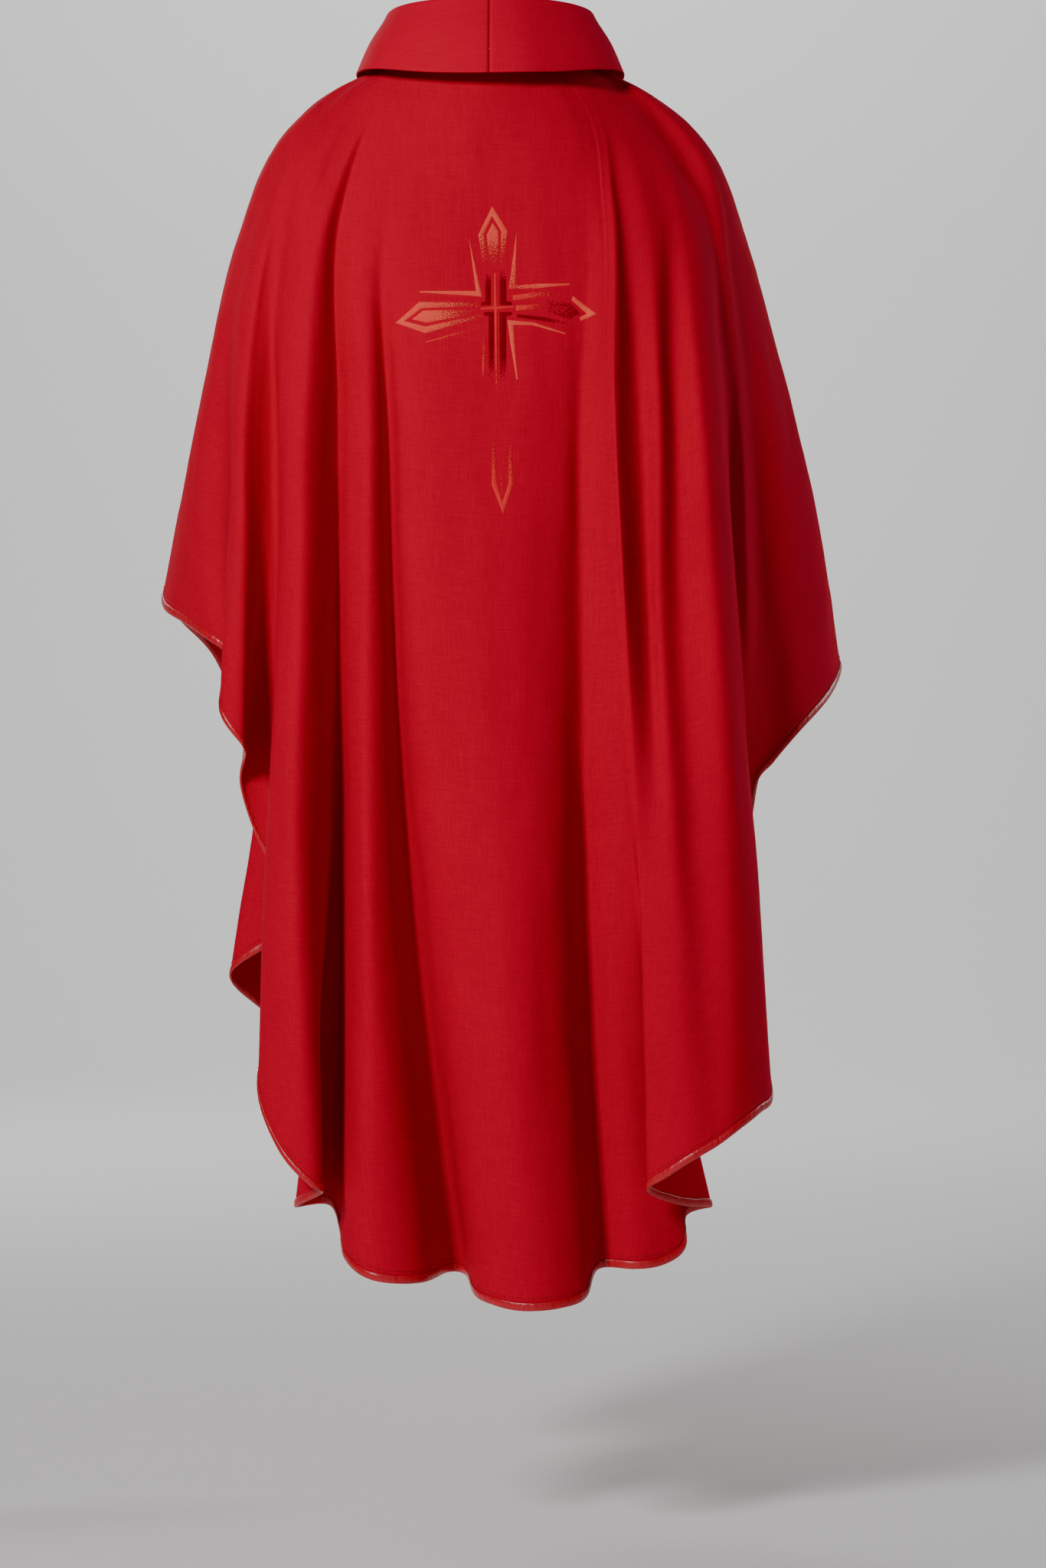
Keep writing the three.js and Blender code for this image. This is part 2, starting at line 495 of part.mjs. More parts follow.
function shortened(path, length) {
  const end = path[path.length - 1];
  const before = path[path.length - 2];
  const along = before.clone().sub(end).normalize();
  return [...path.slice(0, -1), end.clone().addScaledVector(along, length)];
}

const COLLAR_STATIONS = 32;
const COLLAR_LAYERS = {
  outer: INTERLINING / 2 + GAP,
  inner: -(INTERLINING / 2 + GAP),
};
const TURNED_EDGE = 8;            // how far the upper collar is folded up inside its lower edge

function collarSections(profileOf) {
  const sections = [];
  const mean = NECK_BACK + COLLAR_FLARE;
  const half = COLLAR_SEAM_OPENING / 2 / mean / DEG;
  for (let s = 0; s <= COLLAR_STATIONS; s += 1) {
    const degrees = half + (360 - 2 * half) * (s / COLLAR_STATIONS);
    const angle = degrees * DEG;
    const direction = necklinePoint(degrees).setZ(0).normalize();
    const ends = s === 0 || s === COLLAR_STATIONS;
    const seamPlane = ends ? Math.sign(Math.sin(angle)) * COLLAR_SEAM_OPENING / 2 : null;
    sections.push(profileOf(collarPath(degrees)).map(({ x: radius, y: height }) => {
      const x = seamPlane === null ? direction.x * radius : seamPlane;
      return vec(x, direction.y * radius, height);
    }));
  }
  return sections;
}

function upperCollar() {
  return loftSolid(collarSections((path) => {
    const near = offsetPath(path, COLLAR_LAYERS.outer);
    const far = offsetPath(path, COLLAR_LAYERS.outer + COLLAR_CLOTH);
    const under = offsetPath(path, COLLAR_LAYERS.inner);
    const underFar = offsetPath(path, COLLAR_LAYERS.inner - COLLAR_CLOTH);
    const edge = path[path.length - 1];
    const down = edge.clone().sub(path[path.length - 2]).normalize();
    const below = (point, distance) => point.clone().addScaledVector(down, distance);
    const last = path.length - 1;
    const outside = [...far, below(far[last], GAP + 0.3), below(edge, GAP + COLLAR_CLOTH),
      below(underFar[last], GAP + 0.3), below(underFar[last], -TURNED_EDGE)];
    const inside = [...near, below(near[last], GAP), below(edge, GAP), below(under[last], GAP),
      below(under[last], -TURNED_EDGE)];
    return [...outside, ...inside.reverse()];
  }));
}

function collarLayer(fromLevel, toLevel, short) {
  return loftSolid(collarSections((path) => {
    const cut = shortened(path, short);
    return [...offsetPath(cut, toLevel), ...offsetPath(cut, fromLevel).reverse()];
  }));
}
const collarInterlining = () => collarLayer(-INTERLINING / 2, INTERLINING / 2, 1);
const underCollar = () => collarLayer(COLLAR_LAYERS.inner - COLLAR_CLOTH, COLLAR_LAYERS.inner, TURNED_EDGE + 1);

function collarBackSeam() {
  const level = COLLAR_LAYERS.outer + COLLAR_CLOTH / 2;
  const path = offsetPath(collarPath(0), level);
  const face = (x, distance) => (
    offsetPath(path, distance).map(({ x: radius, y: height }) => vec(x, -radius, height)));
  const corners = [face(-THREAD / 2, -THREAD / 2), face(THREAD / 2, -THREAD / 2), face(THREAD / 2, THREAD / 2),
    face(-THREAD / 2, THREAD / 2)];
  return loftSolid(path.map((_, i) => corners.map((line) => line[i])));
}

// ---- what is sewn inside the back neck --------------------------------------------------------------------
const LOOP = { halfSpan: 28, hang: 20, width: 7, thickness: 1.2 };
const LABEL = { width: 34, height: 26, thickness: 0.5 };
const INSIDE_NECK = 8;            // how far in from the back neckline the loop and the label hang

function hangerLoop() {
  const y = -NECK_BACK + INSIDE_NECK + 4;
  const path = new THREE.CatmullRomCurve3([
    vec(-LOOP.halfSpan, y, -6), vec(-LOOP.halfSpan * 0.8, y, -6 - LOOP.hang * 0.6),
    vec(0, y + 1, -6 - LOOP.hang), vec(LOOP.halfSpan * 0.8, y, -6 - LOOP.hang * 0.6), vec(LOOP.halfSpan, y, -6)]);
  const [w, t] = [LOOP.width / 2, LOOP.thickness / 2];
  const tape = new THREE.Shape([[-w, -t], [w, -t], [w, t], [-w, t]].map(([a, b]) => new THREE.Vector2(a, b)));
  return bare(new THREE.ExtrudeGeometry(tape, { steps: 20, bevelEnabled: false, extrudePath: path }));
}

function careLabel() {
  const geometry = new THREE.BoxGeometry(LABEL.width, LABEL.thickness, LABEL.height, 2, 1, 2);
  geometry.translate(-NECK_HALF_WIDTH / 2, -NECK_BACK + 3 * INSIDE_NECK, -12 - LABEL.height / 2);
  return bare(geometry);
}

function bare(geometry) {
  geometry.deleteAttribute('normal');
  geometry.deleteAttribute('uv');
  return mergeVertices(geometry, 1e-4);
}

// ---- the embroidered cross ----------------------------------------------------------------------
function backFaceTriangles() {
  const outside = BACK_COLUMNS.map(({ points, normals }) => (
    points.map((p, row) => moved(p, normals[row], CLOTH / 2))));
  const triangles = [];
  for (let c = CROSS_FIRST_COLUMN; c < CROSS_LAST_COLUMN; c += 1) {
    for (let row = CROSS_FIRST_ROW; row < CROSS_LAST_ROW; row += 1) {
      const [a, b] = [outside[c][row], outside[c][row + 1]];
      const [d, e] = [outside[c + 1][row], outside[c + 1][row + 1]];
      triangles.push([a, d, e], [a, e, b]);
    }
  }
  return triangles;
}
const CROSS_FIRST_COLUMN = columnNamed('second_fold_inner');
const CROSS_LAST_COLUMN = columnNamed('shoulder_valley');
const CROSS_FIRST_ROW = 1;
const CROSS_LAST_ROW = 7;
const BACK_FACE = backFaceTriangles();

// How far across and up the point (x, z) lies on a facet, in shares of two of its sides.
function sharesOn([a, b, c], x, z) {
  const area = (b.x - a.x) * (c.z - a.z) - (c.x - a.x) * (b.z - a.z);
  const u = ((x - a.x) * (c.z - a.z) - (c.x - a.x) * (z - a.z)) / area;
  const v = ((b.x - a.x) * (z - a.z) - (x - a.x) * (b.z - a.z)) / area;
  return [u, v];
}

// The facet of the back panel's outer face at a point (x, z), or the nearest one.
function facetAt(x, z) {
  let best = { outside: Infinity, facet: null };
  for (const facet of BACK_FACE) {
    const [u, v] = sharesOn(facet, x, z);
    const outside = Math.max(-u, -v, u + v - 1);
    if (outside < best.outside) {
      best = { outside, facet };
    }
  }
  return best.facet;
}

// The y of flat stitches over a point (x, z): they stand clear of every facet that comes near the point.
const LONGEST_STITCH_EDGE = 14;
const FACET_REACH = 0.3 * LONGEST_STITCH_EDGE;
function stitchY(x, z) {
  const near = [[0, 0], [FACET_REACH, 0], [-FACET_REACH, 0], [0, FACET_REACH], [0, -FACET_REACH]];
  return Math.min(...near.map(([across, up]) => {
    const facet = facetAt(x + across, z + up);
    const [a, b, c] = facet;
    const [u, v] = sharesOn(facet, x, z);
    return a.y + u * (b.y - a.y) + v * (c.y - a.y);
  }));
}

// The same triangles, each halved across its longest side until no side is longer than a limit.
function withShortSides(positions, index, longest) {
  const points = [...positions];
  const middles = new Map();
  const lengthOf = ([i, j]) => Math.hypot(...[0, 1, 2].map((k) => points[3 * i + k] - points[3 * j + k]));
  const middleOf = (i, j) => {
    const key = `${Math.min(i, j)}_${Math.max(i, j)}`;
    if (!middles.has(key)) {
      const half = [0, 1, 2].map((k) => (points[3 * i + k] + points[3 * j + k]) / 2);
      middles.set(key, points.push(...half) / 3 - 1);
    }
    return middles.get(key);
  };
  const faces = [];
  const waiting = [];
  for (let i = 0; i < index.length; i += 3) {
    waiting.push(index.slice(i, i + 3));
  }
  while (waiting.length > 0) {
    const [a, b, c] = waiting.pop();
    const turns = [[a, b, c], [b, c, a], [c, a, b]].sort((p, q) => lengthOf(q) - lengthOf(p));
    const [from, to, far] = turns[0];
    if (lengthOf(turns[0]) > longest) {
      const middle = middleOf(from, to);
      waiting.push([from, middle, far], [middle, to, far]);
    } else {
      faces.push(a, b, c);
    }
  }
  return { points, faces };
}

// Outlines are in millimetres about the crossing, right and up.
function stitched(outline) {
  const shape = new THREE.Shape(outline.map(([x, z]) => new THREE.Vector2(x, z)));
  const flat = bare(new THREE.ExtrudeGeometry(shape, { depth: 1, steps: 1, bevelEnabled: false }));
  const { points, faces } = withShortSides(flat.getAttribute('position').array, [...flat.getIndex().array],
    LONGEST_STITCH_EDGE / CROSS_SCALE);
  const positions = [];
  for (let i = 0; i < points.length; i += 3) {
    const x = CROSS_CENTRE_X + CROSS_SCALE * points[i];
    const z = -CROSS_CENTRE_DROP + CROSS_SCALE * points[i + 1];
    const lift = EMBROIDERY_GAP + EMBROIDERY * points[i + 2];
    positions.push(x, stitchY(x, z) - lift, z);
  }
  return closed(positions, faces);
}

const BRIGHT_THREAD = 0xe0523a;
const SALMON_THREAD = 0xcf3a30;
const DARK_THREAD = 0x6d0610;
const CROSS = [
  ['top_arm_outline', BRIGHT_THREAD, [[-3, 103.7], [-17, 74.5], [-10.8, 37.4], [-6.6, 38.4], [-11.6, 75.2],
    [-3, 93.6], [6.2, 77.8], [4.8, 41.3], [8, 39.4], [12.3, 78.7]]],
  ['top_arm_kite', BRIGHT_THREAD, [[-2.7, 86.4], [-8.6, 74], [-4.4, 40], [-0.2, 36.8], [2.6, 42],
    [3.4, 77.8]]],
  ['upper_left_ray', BRIGHT_THREAD, [[-26.5, 71.4], [-19.2, 16.9], [-76, 17], [-76, 15.4], [-13.2, 11.1],
    [-15, 19.2]]],
  ['upper_right_ray', BRIGHT_THREAD, [[21.5, 77.8], [15.2, 30], [13.6, 19.2], [40, 19.6], [75.3, 23.8],
    [75.3, 25], [43, 24.4], [20.4, 22.6], [20.8, 40]]],
  ['left_arm_outline', BRIGHT_THREAD, [[-100.4, -14.4], [-76.4, 5.8], [-15.6, 4.8], [-15.6, 1.2],
    [-74.1, -0.6],
    [-91.4, -13.1], [-69.9, -19.2], [-12.9, -6.9], [-12.9, -10.2], [-70.3, -25.9]]],
  ['left_arm_kite', BRIGHT_THREAD, [[-83.7, -11.5], [-72.2, -2.9], [-16.5, -1.9], [-16.5, -5.2],
    [-68.4, -15.4]]],
  ['lower_left_ray', SALMON_THREAD, [[-69.7, -35.5], [-69.7, -34.2], [-40, -26], [-9.6, -15.4], [-8.8, -40],
    [-11.6, -69], [-12.6, -69], [-12.6, -40], [-13, -21.4], [-40, -28.8]]],
  ['lower_right_ray', BRIGHT_THREAD, [[12.3, -12.5], [39.2, -15], [70.8, -25.3], [70.8, -26.5], [37.2, -17.7],
    [18.4, -17.7], [19.6, -38.4], [23, -72], [21.5, -73], [15.7, -38.4]]],
  ['right_arm_tip', BRIGHT_THREAD, [[78.5, 12.5], [102.1, -5.8], [86.2, -12.5], [85, -9], [92.4, -5.2],
    [77, 8.2]]],
  ['right_arm_upper_band', SALMON_THREAD, [[18, 12.6], [40, 15.6], [74.7, 15.8], [74.7, 14.6], [45, 11],
    [18, 7.2]]],
  ['right_arm_middle_band', SALMON_THREAD, [[20.9, 2.5], [47, 3.6], [47, -1], [20.9, -3.2]]],
  ['right_arm_lower_band', DARK_THREAD, [[22, -6.6], [50, -9.6], [72, -13.6], [75.6, -17], [50, -13.6],
    [22, -9.6]]],
  ['right_arm_kite', DARK_THREAD, [[52, 8], [76, 5], [85, -5], [74, -11.4], [52, -4]]],
  ['upper_left_bar', DARK_THREAD, [[-10, 34.5], [-4.6, 34.5], [-4.6, 2.4], [-14.4, 2.4], [-14.4, 5],
    [-10, 6]]],
  ['upper_right_bar', DARK_THREAD, [[4.4, 37.5], [11, 35.5], [11, 6.4], [16.6, 5.6], [16.6, 2.6],
    [4.4, 2.6]]],
  ['lower_left_bar', DARK_THREAD, [[-11.4, -4.6], [-1.4, -4.6], [-1.4, -84], [-6.6, -84], [-6.6, -9],
    [-11.4, -7.6]]],
  ['lower_right_bar', DARK_THREAD, [[4.4, -4.6], [16.6, -4.6], [16.6, -7.4], [11, -8.6], [11, -84],
    [4.4, -84]]],
  ['centre_lines', SALMON_THREAD, [[-0.8, 35], [0.8, 35], [1.5, 1], [18.6, 1.4], [18.6, 0], [1.9, -1.3],
    [2.6, -82], [1, -82], [-0.6, -1.3], [-14.4, -1.8], [-14.4, -0.4], [-1, 1]]],
  ['bottom_arm_outline', SALMON_THREAD, [[-3.1, -134], [-3.1, -179.5], [8.1, -208.3], [18, -178.6],
    [17.1, -140],
    [14.2, -140], [13.6, -177.6], [7.5, -196.8], [1.2, -176.6], [0.4, -134]]],
  ['bottom_arm_kite', SALMON_THREAD, [[6, -122], [3.6, -170], [7.3, -190], [10.6, -171], [9.4, -140]]],
];

function embroideryBacking() {
  const columns = BACK_COLUMNS.slice(CROSS_FIRST_COLUMN, columnNamed('fourth_fold_tip') + 1);
  return sheetSolid(columns, CROSS_FIRST_ROW + 1, CROSS_LAST_ROW, TAPE_OUTER - BACKING, TAPE_OUTER);
}

// ---- materials and assembly ---------------------------------------------------------------------
const finish = (color, roughness) => new THREE.MeshStandardMaterial({ color, roughness, metalness: 0 });
const RED_CLOTH = 0xb80c1e;
const group = new THREE.Group();
function add(name, geometry, color, roughness) {
  const mesh = new THREE.Mesh(geometry, finish(color, roughness));
  mesh.name = name;
  group.add(mesh);
}

add('back_panel', backPanel(), RED_CLOTH, 0.85);
add('front_panel', frontPanel(), RED_CLOTH, 0.85);
add('shoulder_seam_tape_left', shoulderSeamTape(0), RED_CLOTH, 0.9);
add('shoulder_seam_tape_right', shoulderSeamTape(RIGHT_SEAM_COLUMN), RED_CLOTH, 0.9);
add('neck_seam_tape', neckSeamTape(), RED_CLOTH, 0.9);
add('upper_collar', upperCollar(), RED_CLOTH, 0.85);
add('under_collar', underCollar(), RED_CLOTH, 0.85);
add('collar_interlining', collarInterlining(), 0xe8e4da, 0.95);
add('collar_back_seam', collarBackSeam(), 0x9a0a18, 0.7);
add('hem_binding', hemBinding(), 0xd8322c, 0.35);
add('hem_stitching', hemStitching(), 0xc02020, 0.5);
add('embroidery_backing', embroideryBacking(), 0xe8e4da, 0.95);
add('hanger_loop', hangerLoop(), 0x9a0a18, 0.6);
add('care_label', careLabel(), 0xf2efe8, 0.7);
CROSS.forEach(([name, color, outline]) => add(`cross_${name}`, stitched(outline), color, 0.45));

export default group;
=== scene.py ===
"""A red Gothic chasuble as it hangs on its wearer, seen from behind.

Lengths are in metres, tables in millimetres.
"""

import math

import bpy
import numpy as np
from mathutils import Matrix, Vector, noise
from mathutils.bvhtree import BVHTree
from mathutils.geometry import tessellate_polygon


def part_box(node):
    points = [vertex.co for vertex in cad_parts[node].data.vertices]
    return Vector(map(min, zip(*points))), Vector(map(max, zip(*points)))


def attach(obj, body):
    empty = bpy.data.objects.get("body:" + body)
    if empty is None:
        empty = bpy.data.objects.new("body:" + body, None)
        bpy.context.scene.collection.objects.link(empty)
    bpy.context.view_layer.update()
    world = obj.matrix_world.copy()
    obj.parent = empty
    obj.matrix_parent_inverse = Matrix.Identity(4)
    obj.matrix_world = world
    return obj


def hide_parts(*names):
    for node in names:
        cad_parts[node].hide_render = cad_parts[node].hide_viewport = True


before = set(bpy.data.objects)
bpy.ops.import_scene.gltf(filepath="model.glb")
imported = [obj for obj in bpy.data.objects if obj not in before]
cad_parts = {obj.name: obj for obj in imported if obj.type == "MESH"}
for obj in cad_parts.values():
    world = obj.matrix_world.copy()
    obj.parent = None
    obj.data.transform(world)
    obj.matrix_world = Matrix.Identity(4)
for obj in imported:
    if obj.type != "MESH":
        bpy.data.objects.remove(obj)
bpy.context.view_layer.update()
MM = 0.001

# ---- the garment's sizes, in millimetres ---------------------------------------------------------
NECK_HALF_WIDTH = 98
NECK_BACK = 90
NECK_FRONT = 112
NECK_FRONT_DIP = 52
COLLAR_STAND = 52
COLLAR_FALL = 82
COLLAR_SIDE_LIFT = 20
COLLAR_FLARE = 33
COLLAR_FRONT_DROP = 50
COLLAR_ROLL = 4.2
COLLAR_GROOVE = 0.12              # half the width of the groove of the centre-back seam
BINDING_WIDTH = 6.8
STITCH_HEIGHT = 11.4
HALF_CLOTH = 0.5
CROSS_CENTRE = (6, -272)

# Each fold line: name, place round the neckline in degrees, (x, y) at five shares of its drop, and its
# end on the hem (x, y, z).
HEIGHTS = [0.05, 0.14, 0.31, 0.50, 0.70]
LEFT_SEAM = ["left_seam", -90, [-165, 2], [-217, 6], [-259, 12], [-284, 20], [-310, 34], [-352, 110, -545]]
RIGHT_SEAM = ["right_seam", 90, [168, 2], [229, 7], [272, 14], [306, 24], [336, 42], [374, 96, -622]]
BACK_FOLDS = [
    ["arm_outer", -86, [-165, -6], [-219, -6], [-262, 0], [-289, 6], [-314, 14], [-346, 52, -566]],
    ["arm_behind", -82, [-164, -12], [-219, -20], [-262, -16], [-290, -12], [-312, -6], [-322, 4, -580]],
    ["arm_inner", -78, [-163, -18], [-216, -34], [-258, -36], [-284, -34], [-300, -34], [-292, -46, -600]],
    ["arm_valley", -74, [-161, -26], [-212, -44], [-250, -54], [-268, -58], [-271, -64], [-264, -60, -622]],
    ["side_fold_edge", -71, [-158, -32], [-206, -55], [-244, -74], [-262, -88], [-264, -100],
     [-278, -110, -676]],
    ["side_fold_face", -68, [-154, -38], [-200, -66], [-234, -92], [-250, -106], [-250, -116],
     [-248, -122, -714]],
    ["side_hem_turn", -65, [-149, -44], [-193, -74], [-227, -90], [-238, -98], [-238, -98], [-250, -86, -724]],
    ["side_hem_curl", -62, [-146, -49], [-189, -81], [-221, -90], [-229, -90], [-231, -86], [-258, -60, -750]],
    ["side_valley", -59, [-142, -54], [-185, -88], [-217, -93], [-222, -86], [-224, -80], [-245, -48, -797]],
    ["side_hem_inner", -56, [-139, -60], [-181, -95], [-214, -100], [-216, -90], [-217, -80],
     [-224, -50, -838]],
    ["hidden_flank", -53, [-136, -65], [-178, -102], [-212, -108], [-213, -102], [-210, -88],
     [-202, -70, -908]],
    ["hidden_flank_low", -50, [-133, -69], [-175, -108], [-210, -116], [-212, -115], [-205, -106],
     [-196, -102, -984]],
    ["first_fold_edge", -48, [-131, -72], [-174, -111], [-209, -121], [-213, -126], [-224, -140],
     [-238, -148, -1046]],
    ["first_fold_face", -45, [-127, -76], [-171, -116], [-200, -136], [-204, -148], [-212, -172],
     [-212, -188, -1116]],
    ["first_fold_crest", -42, [-122, -80], [-164, -120], [-184, -148], [-188, -166], [-192, -192],
     [-176, -204, -1152]],
    ["first_fold_inner", -39, [-117, -84], [-158, -120], [-168, -134], [-170, -146], [-170, -164],
     [-163, -184, -1158]],
    ["deep_valley", -36, [-113, -86], [-151, -112], [-156, -112], [-156, -112], [-158, -108],
     [-203, -132, -1180]],
    ["deep_valley_back", -34.5, [-110.5, -87.5], [-148, -113], [-152.5, -113], [-152, -113], [-152, -111],
     [-161, -106, -1175]],
    ["second_fold_back", -33, [-108.5, -89.5], [-144, -117], [-147, -121], [-147, -124], [-147, -126],
     [-150, -128, -1205]],
    ["second_fold_edge", -31.5, [-106, -92], [-139, -121], [-141, -132], [-141, -139], [-141, -148],
     [-146, -164, -1228]],
    ["second_fold_crest", -28, [-98, -96], [-128, -128], [-124, -150], [-124, -160], [-122, -180],
     [-118, -200, -1245]],
    ["second_fold_inner", -25, [-90, -100], [-116, -132], [-112, -146], [-108, -150], [-98, -162],
     [-66, -186, -1249]],
    ["second_valley", -22, [-82, -104], [-106, -134], [-104, -126], [-98, -122], [-82, -116],
     [-42, -110, -1245]],
    ["second_valley_right", -20, [-77, -106], [-100, -136], [-97, -134], [-90, -132], [-72, -128],
     [-22, -122, -1247]],
    ["middle_fold_edge", -17.5, [-70, -108.5], [-92, -138.5], [-90, -152], [-81, -158], [-58, -162],
     [-15, -172, -1263]],
    ["middle_fold_left", -14, [-58, -112], [-74, -142], [-70, -164], [-62, -174], [-36, -186],
     [4, -202, -1268]],
    ["middle_left", -7, [-30, -120], [-36, -146], [-32, -168], [-26, -182], [-8, -200], [26, -214, -1272]],
    ["middle", 0, [0, -123], [2, -147], [6, -168], [10, -184], [20, -206], [48, -218, -1272]],
    ["middle_right", 8, [30, -121], [38, -146], [42, -166], [44, -180], [48, -200], [72, -212, -1270]],
    ["middle_fold_right", 15, [58, -114], [72, -142], [76, -158], [74, -166], [76, -180], [98, -190, -1264]],
    ["third_valley", 21, [78, -108], [96, -138], [90, -148], [92, -144], [94, -138], [107, -140, -1237]],
    ["third_fold_left", 26, [86, -104], [103, -138], [99, -152], [106, -153], [114, -154], [146, -158, -1238]],
    ["third_fold_crest", 29, [92, -101], [109, -138], [107, -156], [117, -160], [128, -160],
     [176, -150, -1235]],
    ["third_fold_right", 31.5, [97, -98], [114, -137], [114, -158], [126, -164], [139, -162],
     [200, -137, -1220]],
    ["under_edge", 32.8, [99, -96.5], [116, -136.5], [117, -158.5], [129, -166], [142.5, -164.5],
     [196, -127, -1185]],
    ["under_turn", 34.4, [101, -95], [118, -136], [120, -159], [132, -168], [146, -168], [231, -123, -1178]],
    ["under_middle", 36, [104, -93], [121, -136], [124, -160], [135, -169], [148, -174], [192, -160, -1174]],
    ["fourth_fold_tip", 38, [107, -91], [125, -135], [128, -160], [138, -170], [150, -178], [153, -186, -1157]],
    ["shoulder_valley", 41, [112, -87], [132, -126], [150, -132], [160, -140], [168, -180], [176, -200, -1142]],
    ["fourth_fold_face", 45, [120, -80], [156, -122], [171, -148], [172, -154], [184, -186],
     [202, -206, -1124]],
    ["shallow_valley", 50, [130, -71], [172, -108], [187, -124], [192, -134], [204, -172], [228, -200, -1110]],
    ["fourth_fold_crest", 55, [139, -61], [190, -98], [208, -136], [222, -150], [238, -176],
     [250, -192, -1094]],
    ["fourth_fold_outer", 60, [148, -50], [202, -84], [220, -128], [236, -140], [254, -160],
     [272, -166, -1080]],
    ["fourth_fold_edge", 64, [154, -42], [210, -70], [230, -112], [247, -116], [266, -122], [290, -120, -1066]],
    ["side_valley_right", 68, [160, -34], [214, -56], [236, -84], [246, -84], [256, -82], [252, -40, -960]],
    ["sleeve_inner_right", 71, [163, -28], [220, -46], [246, -68], [258, -78], [264, -82], [268, -56, -760]],
    ["sleeve_valley_right", 74, [164, -22], [222, -38], [250, -50], [268, -56], [274, -58], [292, -40, -728]],
    ["sleeve_crest_right", 78, [166, -16], [226, -28], [260, -34], [288, -36], [306, -34], [322, -22, -694]],
    ["arm_behind_right", 82, [167, -10], [228, -16], [267, -16], [298, -12], [328, -6], [352, 20, -664]],
    ["arm_outer_right", 86, [168, -4], [229, -4], [270, 0], [305, 6], [338, 18], [368, 58, -640]],
]
FRONT_FOLDS = [
    ["cuff_right", 94, [168, 8], [228, 18], [270, 32], [303, 48], [334, 80], [366, 136, -644]],
    ["cuff_front_right", 98, [167, 14], [226, 30], [266, 50], [294, 68], [318, 104], [334, 168, -680]],
    ["forearm_valley_right", 103, [164, 20], [220, 42], [254, 62], [272, 70], [286, 92], [290, 172, -736]],
    ["forearm_fold_right", 107, [160, 28], [214, 56], [246, 88], [264, 112], [278, 150], [280, 218, -824]],
    ["front_side_valley_right", 111, [156, 36], [206, 68], [232, 92], [240, 100], [244, 120], [236, 174, -892]],
    ["front_fourth_edge", 115, [150, 44], [198, 82], [222, 118], [232, 140], [238, 172], [230, 218, -1004]],
    ["front_fourth_crest", 119, [144, 52], [188, 94], [208, 130], [212, 154], [214, 190], [198, 230, -1076]],
    ["front_third_valley", 123, [137, 60], [176, 104], [190, 122], [188, 126], [182, 136], [168, 164, -1108]],
    ["front_third_edge", 127, [130, 68], [164, 114], [172, 144], [168, 160], [164, 188], [158, 222, -1176]],
    ["front_third_crest", 131, [122, 75], [150, 122], [152, 150], [146, 166], [136, 192], [124, 226, -1212]],
    ["front_second_valley", 136, [112, 82], [132, 126], [128, 132], [120, 128], [108, 130], [92, 154, -1212]],
    ["front_second_edge", 142, [98, 90], [112, 134], [106, 152], [98, 160], [84, 180], [70, 216, -1242]],
    ["front_second_crest", 150, [80, 98], [88, 140], [80, 158], [72, 170], [60, 192], [40, 230, -1254]],
    ["front_middle_right", 160, [52, 106], [56, 144], [48, 160], [40, 170], [28, 188], [10, 220, -1256]],
    ["front_middle_valley", 172, [20, 112], [18, 146], [8, 152], [0, 148], [-10, 144], [-22, 158, -1242]],
    ["front_middle_left", 184, [-14, 112], [-20, 147], [-28, 160], [-30, 168], [-34, 184], [-44, 210, -1254]],
    ["front_first_crest", 196, [-48, 107], [-56, 144], [-62, 160], [-62, 172], [-66, 192], [-76, 224, -1250]],
    ["front_first_edge", 207, [-78, 99], [-92, 138], [-94, 152], [-92, 160], [-94, 176], [-104, 204, -1238]],
    ["front_left_valley", 216, [-102, 89], [-120, 130], [-120, 130], [-118, 124], [-116, 124],
     [-122, 146, -1218]],
    ["front_left_crest", 223, [-118, 78], [-142, 124], [-148, 150], [-150, 162], [-152, 184],
     [-158, 218, -1198]],
    ["front_left_face", 229, [-130, 68], [-162, 114], [-172, 142], [-176, 154], [-180, 178],
     [-188, 208, -1152]],
    ["front_side_valley", 234, [-139, 58], [-176, 104], [-190, 118], [-192, 118], [-190, 122],
     [-190, 146, -1104]],
    ["front_side_crest", 239, [-146, 48], [-190, 92], [-210, 122], [-216, 140], [-220, 170],
     [-222, 204, -1050]],
    ["front_side_face", 242, [-150, 44], [-196, 84], [-220, 112], [-230, 128], [-236, 148], [-234, 172, -1024]],
    ["tip_under", 245, [-153, 40], [-201, 77], [-228, 102], [-240, 112], [-238, 128], [-242, 126, -996]],
    ["tip_edge", 248, [-156, 34], [-205, 70], [-233, 93], [-246, 100], [-241, 104], [-286, 70, -952]],
    ["tip_face", 250.5, [-158, 30], [-209, 63], [-238, 84], [-252, 92], [-246, 95], [-218, 54, -912]],
    ["hidden_drop", 253, [-160, 26], [-212, 56], [-243, 76], [-259, 83], [-257, 88], [-226, 84, -868]],
    ["forearm_drop", 256, [-162, 22], [-215, 48], [-248, 67], [-264, 74], [-268, 83], [-246, 104, -780]],
    ["forearm_inner", 259, [-163, 18], [-217, 38], [-252, 55], [-270, 62], [-282, 74], [-266, 110, -692]],
    ["cuff_front", 262, [-165, 13], [-218, 28], [-257, 40], [-279, 48], [-300, 68], [-296, 128, -612]],
    ["cuff", 266, [-165, 8], [-218, 16], [-259, 26], [-283, 34], [-309, 54], [-336, 134, -574]],
]
RING = [LEFT_SEAM, *BACK_FOLDS, RIGHT_SEAM, *FRONT_FOLDS]
ROWS_PER_SPAN = [8, 12, 20, 22, 22, 32]
COLUMNS_PER_FOLD = 8
BEND_SOFTNESS = 0.5

